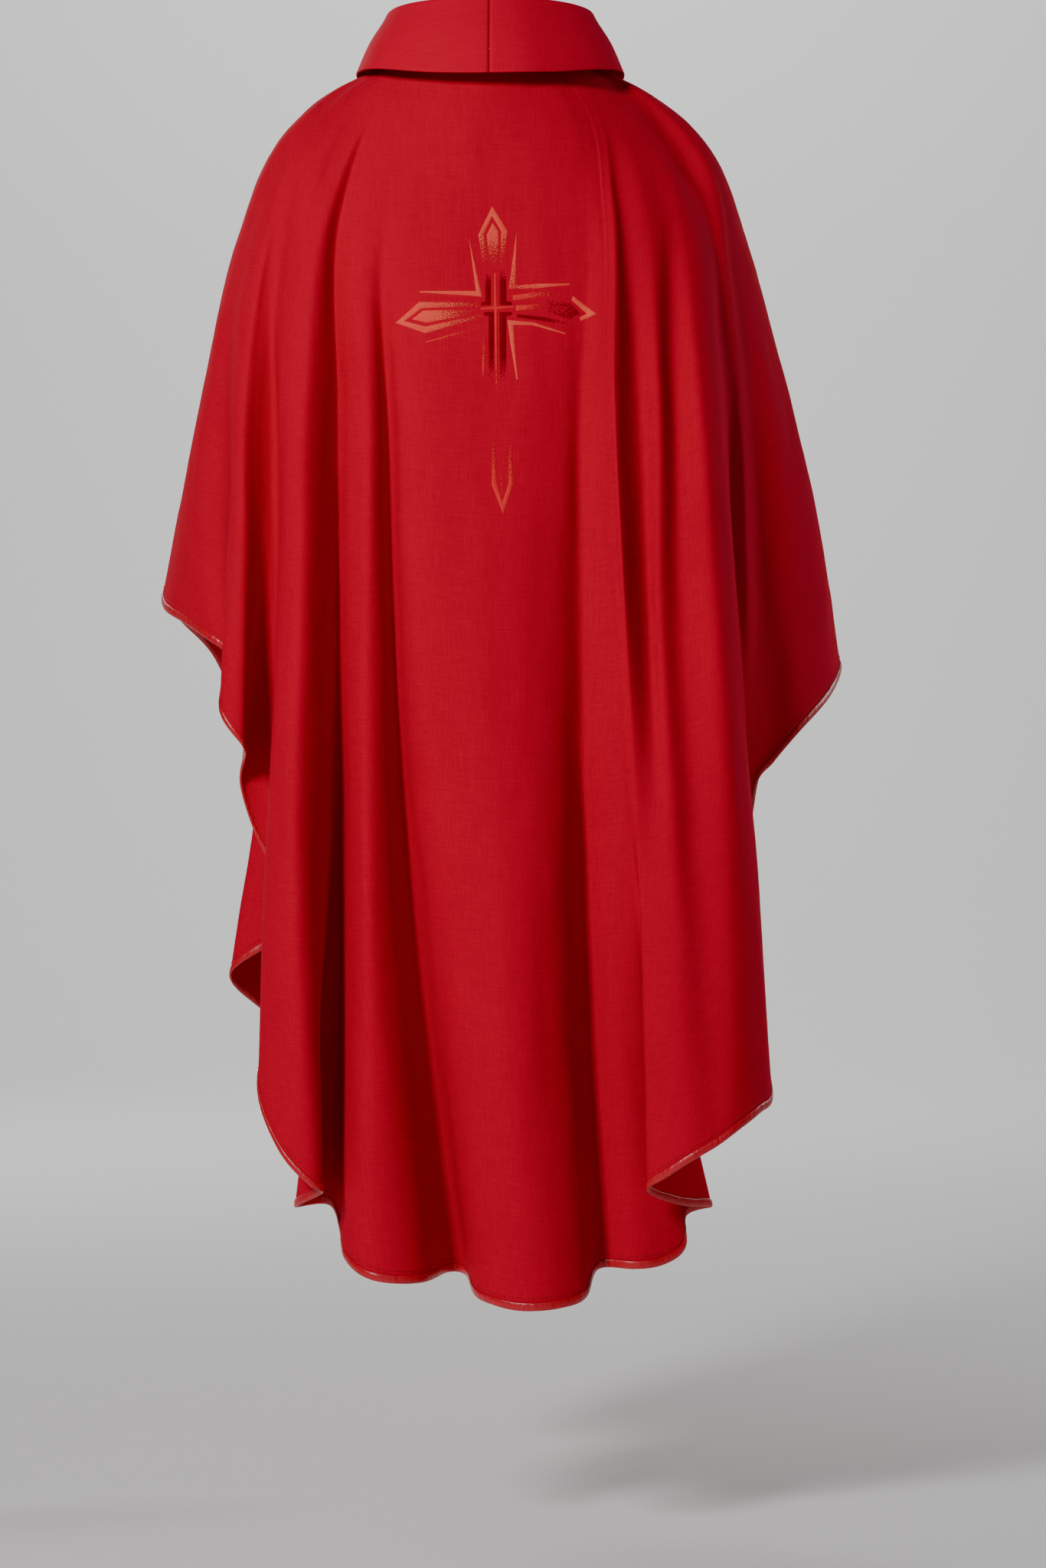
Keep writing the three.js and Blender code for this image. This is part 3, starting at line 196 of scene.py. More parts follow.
# Outlines in millimetres about the crossing, right and up.
CROSS = [
    ["top_arm_outline", "thread_bright", [[-3, 103.7], [-17, 74.5], [-10.8, 37.4], [-6.6, 38.4], [-11.6, 75.2],
     [-3, 93.6], [6.2, 77.8], [4.8, 41.3], [8, 39.4], [12.3, 78.7]]],
    ["top_arm_kite", "thread_bright", [[-2.7, 86.4], [-8.6, 74], [-4.4, 40], [-0.2, 36.8], [2.6, 42],
     [3.4, 77.8]]],
    ["upper_left_ray", "thread_bright", [[-26.5, 71.4], [-19.2, 16.9], [-76, 17], [-76, 15.4], [-13.2, 11.1],
     [-15, 19.2]]],
    ["upper_right_ray", "thread_bright", [[21.5, 77.8], [15.2, 30], [13.6, 19.2], [40, 19.6], [75.3, 23.8],
     [75.3, 25], [43, 24.4], [20.4, 22.6], [20.8, 40]]],
    ["left_arm_outline", "thread_bright", [[-100.4, -14.4], [-76.4, 5.8], [-15.6, 4.8], [-15.6, 1.2],
     [-74.1, -0.6], [-91.4, -13.1], [-69.9, -19.2], [-12.9, -6.9], [-12.9, -10.2], [-70.3, -25.9]]],
    ["left_arm_kite", "thread_bright", [[-83.7, -11.5], [-72.2, -2.9], [-16.5, -1.9], [-16.5, -5.2],
     [-68.4, -15.4]]],
    ["lower_left_ray", "thread_salmon", [[-69.7, -35.5], [-69.7, -34.2], [-40, -26], [-9.6, -15.4], [-8.8, -40],
     [-11.6, -69], [-12.6, -69], [-12.6, -40], [-13, -21.4], [-40, -28.8]]],
    ["lower_right_ray", "thread_bright", [[12.3, -12.5], [39.2, -15], [70.8, -25.3], [70.8, -26.5],
     [37.2, -17.7], [18.4, -17.7], [19.6, -38.4], [23, -72], [21.5, -73], [15.7, -38.4]]],
    ["right_arm_tip", "thread_bright", [[78.5, 12.5], [102.1, -5.8], [86.2, -12.5], [85, -9], [92.4, -5.2],
     [77, 8.2]]],
    ["right_arm_upper_band", "thread_salmon", [[18, 12.6], [40, 15.6], [74.7, 15.8], [74.7, 14.6], [45, 11],
     [18, 7.2]]],
    ["right_arm_middle_band", "thread_salmon", [[20.9, 2.5], [47, 3.6], [47, -1], [20.9, -3.2]]],
    ["right_arm_lower_band", "thread_dark", [[22, -6.6], [50, -9.6], [72, -13.6], [75.6, -17], [50, -13.6],
     [22, -9.6]]],
    ["right_arm_kite", "thread_dark", [[52, 8], [76, 5], [85, -5], [74, -11.4], [52, -4]]],
    ["upper_left_bar", "thread_dark", [[-10, 34.5], [-4.6, 34.5], [-4.6, 2.4], [-14.4, 2.4], [-14.4, 5],
     [-10, 6]]],
    ["upper_right_bar", "thread_dark", [[4.4, 37.5], [11, 35.5], [11, 6.4], [16.6, 5.6], [16.6, 2.6],
     [4.4, 2.6]]],
    ["lower_left_bar", "thread_dark", [[-11.4, -4.6], [-1.4, -4.6], [-1.4, -84], [-6.6, -84], [-6.6, -9],
     [-11.4, -7.6]]],
    ["lower_right_bar", "thread_dark", [[4.4, -4.6], [16.6, -4.6], [16.6, -7.4], [11, -8.6], [11, -84],
     [4.4, -84]]],
    ["centre_lines", "thread_salmon", [[-0.8, 35], [0.8, 35], [1.5, 1], [18.6, 1.4], [18.6, 0], [1.9, -1.3],
     [2.6, -82], [1, -82], [-0.6, -1.3], [-14.4, -1.8], [-14.4, -0.4], [-1, 1]]],
    ["bottom_arm_outline", "thread_salmon", [[-3.1, -134], [-3.1, -179.5], [8.1, -208.3], [18, -178.6],
     [17.1, -140], [14.2, -140], [13.6, -177.6], [7.5, -196.8], [1.2, -176.6], [0.4, -134]]],
    ["bottom_arm_kite", "thread_salmon", [[6, -122], [3.6, -170], [7.3, -190], [10.6, -171], [9.4, -140]]],
]


# ---- materials -----------------------------------------------------------------------------------
class Number:
    """A number inside a material: arithmetic on it makes Math nodes."""

    def __init__(self, paint, source):
        self.paint = paint
        self.source = source

    def math(self, operation, *others, swap=False):
        node = self.paint.tree.nodes.new("ShaderNodeMath")
        node.operation = operation
        values = [self, *others]
        if swap:
            values.reverse()
        for socket, value in zip(node.inputs, values):
            self.paint.put(socket, value)
        return Number(self.paint, node.outputs[0])

    def __add__(self, other):
        return self.math("ADD", other)

    def __sub__(self, other):
        return self.math("SUBTRACT", other)

    def __mul__(self, other):
        return self.math("MULTIPLY", other)

    def __truediv__(self, other):
        return self.math("DIVIDE", other)

    def __rsub__(self, other):
        return self.math("SUBTRACT", other, swap=True)

    __radd__ = __add__
    __rmul__ = __mul__

    def clamped(self):
        return self.math("MAXIMUM", 0.0).math("MINIMUM", 1.0)

    def sine(self):
        return self.math("SINE")


class Paint:
    """A material and the nodes in it."""

    def __init__(self, name, **constants):
        self.material = bpy.data.materials.new(name)
        self.material.use_nodes = True
        self.tree = self.material.node_tree
        self.shader = self.tree.nodes["Principled BSDF"]
        for socket, value in constants.items():
            self.shader.inputs[socket.replace("_", " ")].default_value = value

    def put(self, socket, value):
        if isinstance(value, Number):
            self.tree.links.new(value.source, socket)
        elif isinstance(value, bpy.types.NodeSocket):
            self.tree.links.new(value, socket)
        else:
            socket.default_value = value

    def node(self, kind, settings, inputs, output=0):
        """Any node: its settings by name, its inputs by name or number, and which output to use."""
        made = self.tree.nodes.new(kind)
        for name, value in settings.items():
            setattr(made, name, value)
        for key, value in inputs.items():
            self.put(made.inputs[key], value)
        return made.outputs[output]

    def cloth_place(self):
        """How far across and down the cloth, in metres."""
        layer = self.node("ShaderNodeUVMap", {"uv_map": "cloth"}, {})
        split = self.tree.nodes.new("ShaderNodeSeparateXYZ")
        self.tree.links.new(layer, split.inputs[0])
        return Number(self, split.outputs[0]), Number(self, split.outputs[1])

    def noise(self, x, y, z=0.0, detail=2.0, roughness=0.5):
        place = self.node("ShaderNodeCombineXYZ", {}, {0: x, 1: y, 2: z})
        inputs = {"Vector": place, "Scale": 1.0, "Detail": detail, "Roughness": roughness}
        return Number(self, self.node("ShaderNodeTexNoise", {"noise_dimensions": "3D"}, inputs))

    def mixed(self, amount, first, second):
        settings = {"data_type": "RGBA", "blend_type": "MIX"}
        return self.node("ShaderNodeMix", settings, {0: amount, 6: first, 7: second}, 2)

    def relief(self, height, strength, depth):
        inputs = {"Height": height, "Strength": strength, "Distance": depth}
        self.put(self.shader.inputs["Normal"], self.node("ShaderNodeBump", {}, inputs))

    def color(self, value):
        self.put(self.shader.inputs["Base Color"], value)

    def roughness(self, value):
        self.put(self.shader.inputs["Roughness"], value)


def woven_cloth(name, dark, light, slub=1.0, sheen=0.05):
    """A matte plain weave with slubs that run along single threads, both ways."""
    paint = Paint(name, Sheen_Weight=sheen, Sheen_Roughness=0.45, Sheen_Tint=(1, 0.10, 0.14, 1), IOR=1.4,
                  Specular_IOR_Level=0.05)
    across, down = paint.cloth_place()
    warp = paint.noise(across * 1500, down * 45)
    weft = paint.noise(across * 45, down * 1500, 3.0)
    coarse_warp = paint.noise(across * 520, down * 14, 5.0)
    coarse_weft = paint.noise(across * 17, down * 520, 7.0)
    thread = (across * 4400).sine() * (down * 4400).sine()
    fuzz = paint.noise(across * 2200, down * 2200, 11.0)
    patches = paint.noise(across * 12, down * 8, 13.0, 3.0)
    weave = (warp + weft) * 0.5
    slubs = (coarse_warp + coarse_weft) * 0.5
    tone = 0.5 + (weave - 0.5) * 1.2 * slub + (slubs - 0.5) * 0.5 * slub
    tone = tone + (patches - 0.5) * 0.2 + (fuzz - 0.5) * 0.4
    paint.color(paint.mixed(tone.clamped(), dark, light))
    paint.roughness((0.80 + (fuzz - 0.5) * 0.2).clamped())
    paint.relief(weave * 0.9 + slubs * 0.6 + thread * 0.12 + fuzz * 0.25, 0.45, 0.0006 * slub)
    return paint.material


def satin_binding(name):
    """Bias-cut satin: a smooth face with a fine diagonal twill and a soft sheen."""
    paint = Paint(name, Coat_Roughness=0.3, IOR=1.45)
    across, down = paint.cloth_place()
    twill = ((across + down) * 5200).sine()
    floats = paint.noise((across + down) * 700, (across - down) * 60)
    patches = paint.noise(across * 40, down * 90, 3.0)
    dark, light = (0.38, 0.0009, 0.011, 1), (0.66, 0.0045, 0.020, 1)
    paint.color(paint.mixed((floats * 0.5 + patches * 0.6).clamped(), dark, light))
    paint.roughness((0.30 + (floats - 0.5) * 0.25).clamped())
    paint.put(paint.shader.inputs["Coat Weight"], (patches * 0.25).clamped())
    paint.relief(floats * 0.7 + twill * 0.08 + patches * 0.6, 0.35, 0.0006)
    return paint.material


def twisted_thread(name, dark, light):
    paint = Paint(name, IOR=1.4)
    across, down = paint.cloth_place()
    twist = ((across + down * 0.6) * 7000).sine()
    wear = paint.noise(across * 120, down * 120, 2.0)
    paint.color(paint.mixed((wear + twist * 0.2).clamped(), dark, light))
    paint.roughness((0.55 + (wear - 0.5) * 0.2).clamped())
    paint.relief(twist, 0.4, 0.0003)
    return paint.material


def satin_stitch(name, dark, light):
    """Rows of parallel stitches side by side; where the cover is thin the cloth shows between them."""
    paint = Paint(name, IOR=1.45, Specular_IOR_Level=0.05)
    across, down = paint.cloth_place()
    cover = Number(paint, paint.node("ShaderNodeAttribute", {"attribute_name": "cover"}, {}, 2))
    threads = (down * (2 * math.pi / 0.0011)).sine()
    row = paint.noise(across * 160, down * 1500, 1.0)
    speck = paint.noise(across * 620, down * 900, 4.0, 1.0)
    worn = paint.noise(across * 60, down * 60, 9.0, 3.0)
    paint.color(paint.mixed((row * 0.7 + worn * 0.5 - 0.1).clamped(), dark, light))
    paint.roughness((0.42 + (row - 0.5) * 0.3).clamped())
    paint.relief(threads * 0.3 + row * 0.8 + speck * 0.3, 0.5, 0.0006)
    edge = (speck * 0.75 + row * 0.25 - (1.0 - cover) * 0.72 - 0.10) * 14
    paint.put(paint.shader.inputs["Alpha"], edge.clamped())
    return paint.material


RED_DARK = (0.40, 0.0004, 0.014, 1)
RED_LIGHT = (0.68, 0.0010, 0.030, 1)
RED_CLOTH = woven_cloth("red_slubbed_cloth", RED_DARK, RED_LIGHT)
COLLAR_CLOTH = woven_cloth("red_collar_cloth", (0.45, 0.0007, 0.017, 1), (0.74, 0.0017, 0.036, 1), 0.9, 0.04)
RED_TAPE = woven_cloth("red_tape", (0.25, 0.004, 0.01, 1), (0.42, 0.01, 0.02, 1), 0.5)
STIFFENER = woven_cloth("white_interlining", (0.62, 0.58, 0.50, 1), (0.82, 0.80, 0.74, 1), 0.6)
LABEL = woven_cloth("white_label", (0.74, 0.72, 0.68, 1), (0.88, 0.87, 0.84, 1), 0.3)
SATIN = satin_binding("red_satin")
RED_THREAD = twisted_thread("red_thread", (0.30, 0.004, 0.006, 1), (0.58, 0.02, 0.02, 1))
THREADS = {
    "thread_bright": satin_stitch("bright_stitches", (0.84, 0.036, 0.026, 1), (0.97, 0.13, 0.085, 1)),
    "thread_salmon": satin_stitch("salmon_stitches", (0.72, 0.010, 0.018, 1), (0.92, 0.055, 0.048, 1)),
    "thread_dark": satin_stitch("dark_stitches", (0.17, 0.0003, 0.005, 1), (0.34, 0.0005, 0.011, 1)),
}


# ---- surfaces ------------------------------------------------------------------------------------
def unit(vectors):
    return vectors / np.maximum(np.linalg.norm(vectors, axis=-1, keepdims=True), 1e-12)


def lengths_along(points, axis):
    """Running length along one axis of a grid of points."""
    steps = np.linalg.norm(np.diff(points, axis=axis), axis=-1)
    shape = list(steps.shape)
    shape[axis] = 1
    return np.cumsum(np.concatenate([np.zeros(shape), steps], axis=axis), axis=axis)


def outward(grid, ring=False):
    """The outward direction at each point of a grid of columns that go down and follow one another round."""
    if ring:
        around = np.roll(grid, -1, 0) - np.roll(grid, 1, 0)
    else:
        around = np.gradient(grid, axis=0)
    down = np.gradient(grid, axis=1)
    return -unit(np.cross(unit(around), unit(down)))


def smooth_curve(points, rows_per_span):
    """Curves through the points along axis 1, eased by the distance between them."""
    first = 2 * points[:, :1] - points[:, 1:2]
    last = 2 * points[:, -1:] - points[:, -2:-1]
    p = np.concatenate([first, points, last], axis=1)
    rows = []
    for span, count in enumerate(rows_per_span):
        a, b, c, d = (p[:, span + i] for i in range(4))
        ab, bc, cd = (np.linalg.norm(v - u, axis=-1, keepdims=True) for u, v in ((a, b), (b, c), (c, d)))
        start = ((b - a) / ab - (c - a) / (ab + bc) + (c - b) / bc) * bc
        end = ((c - b) / bc - (d - b) / (bc + cd) + (d - c) / cd) * bc
        for row in range(count):
            t = row / count
            rows.append(b + start * t + (3 * (c - b) - 2 * start - end) * t ** 2
                        + (2 * (b - c) + start + end) * t ** 3)
    return np.stack([*rows, p[:, -2]], axis=1)


def soft_bends(drawn, parts):
    """Columns between the drawn ones of a closed ring, so that the cloth turns in round bends."""
    before, after, beyond = np.roll(drawn, 1, 0), np.roll(drawn, -1, 0), np.roll(drawn, -2, 0)
    columns = []
    for part in range(parts):
        f = part / parts
        through = [(-f + 2 * f ** 2 - f ** 3) / 2, (2 - 5 * f ** 2 + 3 * f ** 3) / 2,
                   (f + 4 * f ** 2 - 3 * f ** 3) / 2, (f ** 3 - f ** 2) / 2]
        pulled = [(1 - f) ** 3 / 6, (4 - 6 * f ** 2 + 3 * f ** 3) / 6,
                  (1 + 3 * f + 3 * f ** 2 - 3 * f ** 3) / 6, f ** 3 / 6]
        share = [t + BEND_SOFTNESS * (s - t) for t, s in zip(through, pulled)]
        columns.append(sum(w * g for w, g in zip(share, (before, drawn, after, beyond))))
    return np.stack(columns, axis=1).reshape(-1, *drawn.shape[1:])


def shell(name, outer, inner, across, down, ring=False):
    """A closed sheet between two grids of points. across and down give each point's place on the cloth."""
    columns, rows = outer.shape[:2]
    count = columns * rows
    index = np.arange(count).reshape(columns, rows)
    there = np.roll(index, -1, 0) if ring else index[1:]
    here = index if ring else index[:-1]
    out = np.stack([here[:, :-1], here[:, 1:], there[:, 1:], there[:, :-1]], -1).reshape(-1, 4)
    back = out[:, ::-1] + count
    top = np.stack([here[:, 0], there[:, 0], there[:, 0] + count, here[:, 0] + count], -1)
    end = np.stack([there[:, -1], here[:, -1], here[:, -1] + count, there[:, -1] + count], -1)
    faces = [out, back, top, end]
    if not ring:
        first, last = index[0], index[-1]
        faces.append(np.stack([first[1:], first[:-1], first[:-1] + count, first[1:] + count], -1))
        faces.append(np.stack([last[:-1], last[1:], last[1:] + count, last[:-1] + count], -1))
    points = np.concatenate([outer.reshape(-1, 3), inner.reshape(-1, 3)])
    places = np.tile(np.stack([across.ravel(), down.ravel()], -1), (2, 1))
    return mesh_piece(name, points, np.concatenate(faces), places)


def mesh_piece(name, points, faces, places=None):
    mesh = bpy.data.meshes.new(name)
    mesh.from_pydata(np.asarray(points).tolist(), [], np.asarray(faces).tolist())
    mesh.polygons.foreach_set("use_smooth", [True] * len(mesh.polygons))
    if places is not None:
        layer = mesh.uv_layers.new(name="cloth")
        corners = np.zeros(len(mesh.loops), np.int32)
        mesh.loops.foreach_get("vertex_index", corners)
        layer.data.foreach_set("uv", np.asarray(places, np.float32)[corners].ravel())
    mesh.update()
    piece = bpy.data.objects.new(name, mesh)
    bpy.context.scene.collection.objects.link(piece)
    return piece


def finished(piece, material, slot, *nodes):
    piece.data.materials.append(material)
    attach(piece, "root")
    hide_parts(*nodes)
    return piece


# ---- the hanging cloth ---------------------------------------------------------------------------
def neckline_point(degrees):
    angle = math.radians(degrees)
    forward = max(0.0, -math.cos(angle))
    reach = NECK_FRONT if forward > 0 else NECK_BACK
    dip = NECK_FRONT_DIP * forward ** 1.6
    return np.array([NECK_HALF_WIDTH * math.sin(angle), -reach * math.cos(angle), -dip])


def fold_points(fold):
    _, degrees, *places = fold
    top = neckline_point(degrees)
    hem = np.array(places[-1], float)
    between = [[x, y, top[2] + share * (hem[2] - top[2])] for share, (x, y) in zip(HEIGHTS, places)]
    return np.array([top, *between, hem])


def wrinkled(grid, normals):
    """Shallow creases of the hanging cloth; they fade out towards the neckline and the hem."""
    columns, rows = grid.shape[:2]
    depth = np.zeros((columns, rows))
    fade = np.clip(np.minimum(np.arange(rows) / 12, (rows - 4 - np.arange(rows)) / 10), 0, 1)
    for c in range(columns):
        for r in range(rows):
            if fade[r] > 0:
                x, y, z = grid[c, r]
                long = noise.noise(Vector((x * 17, y * 17, z * 4.2)))
                short = noise.noise(Vector((x * 45 + 3, y * 45, z * 13)))
                fine = noise.noise(Vector((x * 110, y * 110 + 9, z * 60)))
                depth[c, r] = fade[r] * (0.0022 * long + 0.0009 * short + 0.00022 * fine)
    return grid + normals * depth[..., None]


DRAWN = smooth_curve(np.array([fold_points(fold) for fold in RING]), ROWS_PER_SPAN) * MM
SMOOTH_RING = soft_bends(DRAWN, COLUMNS_PER_FOLD)
CLOTH = wrinkled(SMOOTH_RING, outward(SMOOTH_RING, ring=True))
CLOTH_OUT = outward(CLOTH, ring=True)
RIGHT_SEAM_COLUMN = (1 + len(BACK_FOLDS)) * COLUMNS_PER_FOLD
SEAM_GAP = 0.15 * MM
SEAM_ROLL = 2.2 * MM              # how far from the seam the cloth starts to dip into it
SEAM_DIP = 0.9 * MM


def panel(name, first, last, middle, node):
    """A panel's columns, with the cloth dipping into the seam along both of its sides."""
    order = np.arange(first, last + 1) % len(CLOTH)
    grid, normals = CLOTH[order], CLOTH_OUT[order]

    def beside(edge, inner):
        step = grid[inner] - grid[edge]
        far = np.linalg.norm(step, axis=-1, keepdims=True)
        rolled = grid[edge] + step * np.minimum(0.5, SEAM_ROLL / far)
        tucked = grid[edge] + step * (SEAM_GAP / far) - normals[edge] * SEAM_DIP
        return tucked, rolled

    (tuck_a, roll_a), (tuck_b, roll_b) = beside(0, 1), beside(-1, -2)
    grid = np.concatenate([[tuck_a, roll_a], grid[1:-1], [roll_b, tuck_b]])
    normals = np.concatenate([normals[[0, 0]], normals[1:-1], normals[[-1, -1]]])
    across = lengths_along(grid, 0)
    across = across - across[middle]
    down = lengths_along(grid, 1)
    half = HALF_CLOTH * MM
    piece = shell(name, grid + normals * half, grid - normals * half, across, down)
    finished(piece, RED_CLOTH, "red_cloth", node)
    return piece, grid, normals


def column_of(name):
    return [fold[0] for fold in RING].index(name) * COLUMNS_PER_FOLD


back_panel, BACK_GRID, BACK_OUT = panel("back_panel_cloth", 0, RIGHT_SEAM_COLUMN, column_of("middle"),
                                        "back_panel")
FRONT_MIDDLE = column_of("front_middle_valley") - RIGHT_SEAM_COLUMN
front_panel, _, _ = panel("front_panel_cloth", RIGHT_SEAM_COLUMN, len(CLOTH), FRONT_MIDDLE, "front_panel")


# ---- tapes and backing, inside -------------------------------------------------------------------
def inside_layer(name, grid, normals, material, slot, node, ring=False, thickness=0.45):
    near = (HALF_CLOTH + 0.3) * MM
    far = near + thickness * MM
    piece = shell(name, grid - normals * near, grid - normals * far, lengths_along(grid, 0),
                  lengths_along(grid, 1), ring)
    return finished(piece, material, slot, node)


def seam_tape(side, column):
    half_width = 6 * MM
    rows = slice(4, -3)
    centre = CLOTH[column, rows]
    strips, turns = [], []
    for share in (-1, -0.5, 0, 0.5, 1):
        neighbour = CLOTH[(column + (1 if share > 0 else -1)) % len(CLOTH), rows]
        step = unit(neighbour - centre)
        strips.append(centre + step * abs(share) * half_width)
        turns.append(CLOTH_OUT[column, rows])
    return inside_layer(f"shoulder_tape_{side}", np.array(strips), np.array(turns), RED_TAPE, "red_tape",
                        f"shoulder_seam_tape_{side}")


left_tape = seam_tape("left", 0)
right_tape = seam_tape("right", RIGHT_SEAM_COLUMN)
neck_tape = inside_layer("neck_tape", CLOTH[:, :2], CLOTH_OUT[:, :2], RED_TAPE, "red_tape", "neck_seam_tape",
                         ring=True)
BACKED_ROWS = slice(16, 56)
BACKED_COLUMNS = slice(column_of("middle_fold_edge") - 2 * COLUMNS_PER_FOLD, column_of("third_fold_right") + 1)
BACKED = BACKED_COLUMNS, BACKED_ROWS
backing = inside_layer("embroidery_backing_cloth", BACK_GRID[BACKED], BACK_OUT[BACKED], STIFFENER, "interlining",
                       "embroidery_backing", thickness=0.3)


# ---- the bound hem -------------------------------------------------------------------------------
HEM_STATIONS_PER_FOLD = 36
HEM = soft_bends(DRAWN[:, -2:], HEM_STATIONS_PER_FOLD)
HEM_OUT = outward(HEM, ring=True)[:, -1]
HEM_EDGE = HEM[:, -1]
HEM_UP = unit(HEM[:, -2] - HEM_EDGE)
HEM_ALONG = np.concatenate([[0], np.cumsum(np.linalg.norm(np.diff(HEM_EDGE, axis=0), axis=1))])


def hem_binding():
    """A satin strip folded round the edge. It is cut on the bias, so it puckers a little along its length."""
    w = BINDING_WIDTH
    face = [(w, 0.62), (w + 0.25, 0.9), (w - 0.5, 1.2), (w * 0.75, 1.5), (w * 0.5, 1.65), (w * 0.25, 1.55),
            (0.6, 1.45)]
    fold = [(-0.5, 1.25), (-1.2, 0.75), (-1.45, 0)]
    lining = [(0.4, 0), (0.3, 0.55), (w * 0.5, 0.62), (w, 0.56)]
    outside = [*face, *fold, *[(u, -o) for u, o in reversed(fold[:-1])], *[(u, -o) for u, o in reversed(face)]]
    inside = [*[(u, -o) for u, o in reversed(lining)], *lining[1:]]
    profile = np.array([*outside, *inside]) * MM
    stations = len(HEM_EDGE)
    pucker = np.array([noise.noise(Vector((s * 190, 0, 0))) + 0.6 * noise.noise(Vector((s * 420, 5, 0)))
                       for s in HEM_ALONG]) * 0.42 * MM
    wave = np.array([noise.noise(Vector((s * 60, 2, 0))) for s in HEM_ALONG]) * 0.5 * MM
    body = np.clip((np.abs(profile[:, 1]) - 1.0 * MM) / (0.6 * MM), 0, 1) * np.sign(profile[:, 1])
    up = profile[None, :, 0] + wave[:, None] * (profile[None, :, 0] > 6 * MM)
    out = profile[None, :, 1] + pucker[:, None] * body[None, :]
    points = (HEM_EDGE[:, None] + HEM_UP[:, None] * up[..., None] + HEM_OUT[:, None] * out[..., None])
    index = np.arange(points.size // 3).reshape(stations, -1)
    there, beside = np.roll(index, -1, 0), np.roll(index, -1, 1)
    faces = np.stack([index, beside, np.roll(there, -1, 1), there], -1).reshape(-1, 4)
    round_profile = np.concatenate([[0], np.cumsum(np.linalg.norm(np.diff(profile, axis=0), axis=1))])
    places = np.stack([np.repeat(HEM_ALONG, len(profile)), np.tile(round_profile, stations)], -1)
    piece = mesh_piece("hem_binding_satin", points.reshape(-1, 3), faces, places)
    return finished(piece, SATIN, "binding_satin", "hem_binding")


def stitch_row(name, places, directions, outs, length, width, material, slot, node):
    """Separate stitches: each is a short ridge that sinks into the cloth at both ends."""
    points, faces, uvs = [], [], []
    sections = [(-0.5, 0.15, -0.15), (-0.32, 0.8, 0.7), (0.0, 1.0, 1.0), (0.32, 0.8, 0.7), (0.5, 0.15, -0.15)]
    for place, along, out in zip(places, directions, outs):
        side = np.cross(along, out)
        start = len(points)
        for share, wide, high in sections:
            centre = place + along * share * length
            for turn in range(6):
                angle = turn * math.pi / 3
                points.append(centre + side * math.cos(angle) * wide * width / 2
                              + out * (0.5 * high + 0.5 * math.sin(angle) * wide) * width)
                uvs.append((share * length, turn * width / 2))
        for section in range(len(sections) - 1):
            for turn in range(6):
                a = start + section * 6 + turn
                b = start + section * 6 + (turn + 1) % 6
                faces.append((a, b, b + 6, a + 6))
        last = start + (len(sections) - 1) * 6
        faces.append((start + 3, start + 2, start + 1, start))
        faces.append((start, start + 5, start + 4, start + 3))
        faces.append((last, last + 1, last + 2, last + 3))
        faces.append((last + 3, last + 4, last + 5, last))
    return finished(mesh_piece(name, points, faces, uvs), material, slot, node)


def hem_stitching():
    pitch, length = 4.2 * MM, 3.2 * MM
    marks = np.arange(0, HEM_ALONG[-1], pitch)
    at = np.searchsorted(HEM_ALONG, marks).clip(0, len(HEM_EDGE) - 2)
    out = HEM_OUT[at]
    places = HEM_EDGE[at] + HEM_UP[at] * STITCH_HEIGHT * MM + out * (HALF_CLOTH + 0.02) * MM
    along = unit(HEM_EDGE[at + 1] - HEM_EDGE[at])
    return stitch_row("hem_stitches", places, along, out, length, 0.7 * MM, RED_THREAD, "red_thread",
                      "hem_stitching")


hem_binding_piece = hem_binding()
hem_stitches = hem_stitching()


# ---- the collar ----------------------------------------------------------------------------------
def collar_line(degrees):
    """The collar's middle line at one place round the neck, as (distance from the axis, height)."""
    angle = math.radians(degrees)
    neck = neckline_point(degrees)
    forward = max(0.0, -math.cos(angle)) ** 1.6
    base = np.array([math.hypot(neck[0], neck[1]), neck[2] + 1.4])
    top = COLLAR_STAND - COLLAR_FRONT_DROP * forward
    fall = COLLAR_FALL - COLLAR_SIDE_LIFT * math.sin(angle) ** 2
    edge = np.array([base[0] + COLLAR_FLARE + 2 * COLLAR_ROLL, top - fall])
    centre = np.array([base[0] + 2 + COLLAR_ROLL, top - COLLAR_ROLL])
    roll = [centre + COLLAR_ROLL * np.array([math.cos(math.radians(t)), math.sin(math.radians(t))])
            for t in (180, 150, 120, 90, 60, 35, 15)]
    low = (roll[-1] + edge) / 2 + np.array([2.5, 0])
    return np.array([base, [base[0] + 1, (base[1] + centre[1]) / 2], *roll, low, edge])


COLLAR_STATIONS = 180
COLLAR_ROWS = [8, 8, 2, 2, 2, 2, 2, 2, 8, 8]


def collar_surface():
    """The middle surface as a grid of columns round the neck, open at the centre-back seam, and its (radial, up)
    normals. A few soft waves keep it from being a turned shape."""
    half = math.degrees(COLLAR_GROOVE / (NECK_BACK + COLLAR_FLARE))
    degrees = np.linspace(half, 360 - half, COLLAR_STATIONS + 1)
    lines = smooth_curve(np.array([collar_line(d) for d in degrees]), COLLAR_ROWS)
    share = np.linspace(0, 1, lines.shape[1])
    for i, d in enumerate(degrees):
        a = math.radians(d)
        soft = noise.noise(Vector((math.sin(a) * 1.6, math.cos(a) * 1.6, 3.0)))
        ripple = noise.noise(Vector((math.sin(a) * 5, math.cos(a) * 5, 8.0)))
        lines[i, :, 0] += (2.2 * soft + 0.9 * ripple) * share ** 2
        lines[i, :, 1] += 1.4 * soft * share ** 3
    tangent = unit(np.gradient(lines, axis=1))
    normal = np.stack([-tangent[..., 1], tangent[..., 0]], -1)
    direction = np.array([unit(neckline_point(d) * [1, 1, 0]) for d in degrees])
    return degrees, lines, normal, tangent, direction


COLLAR = collar_surface()


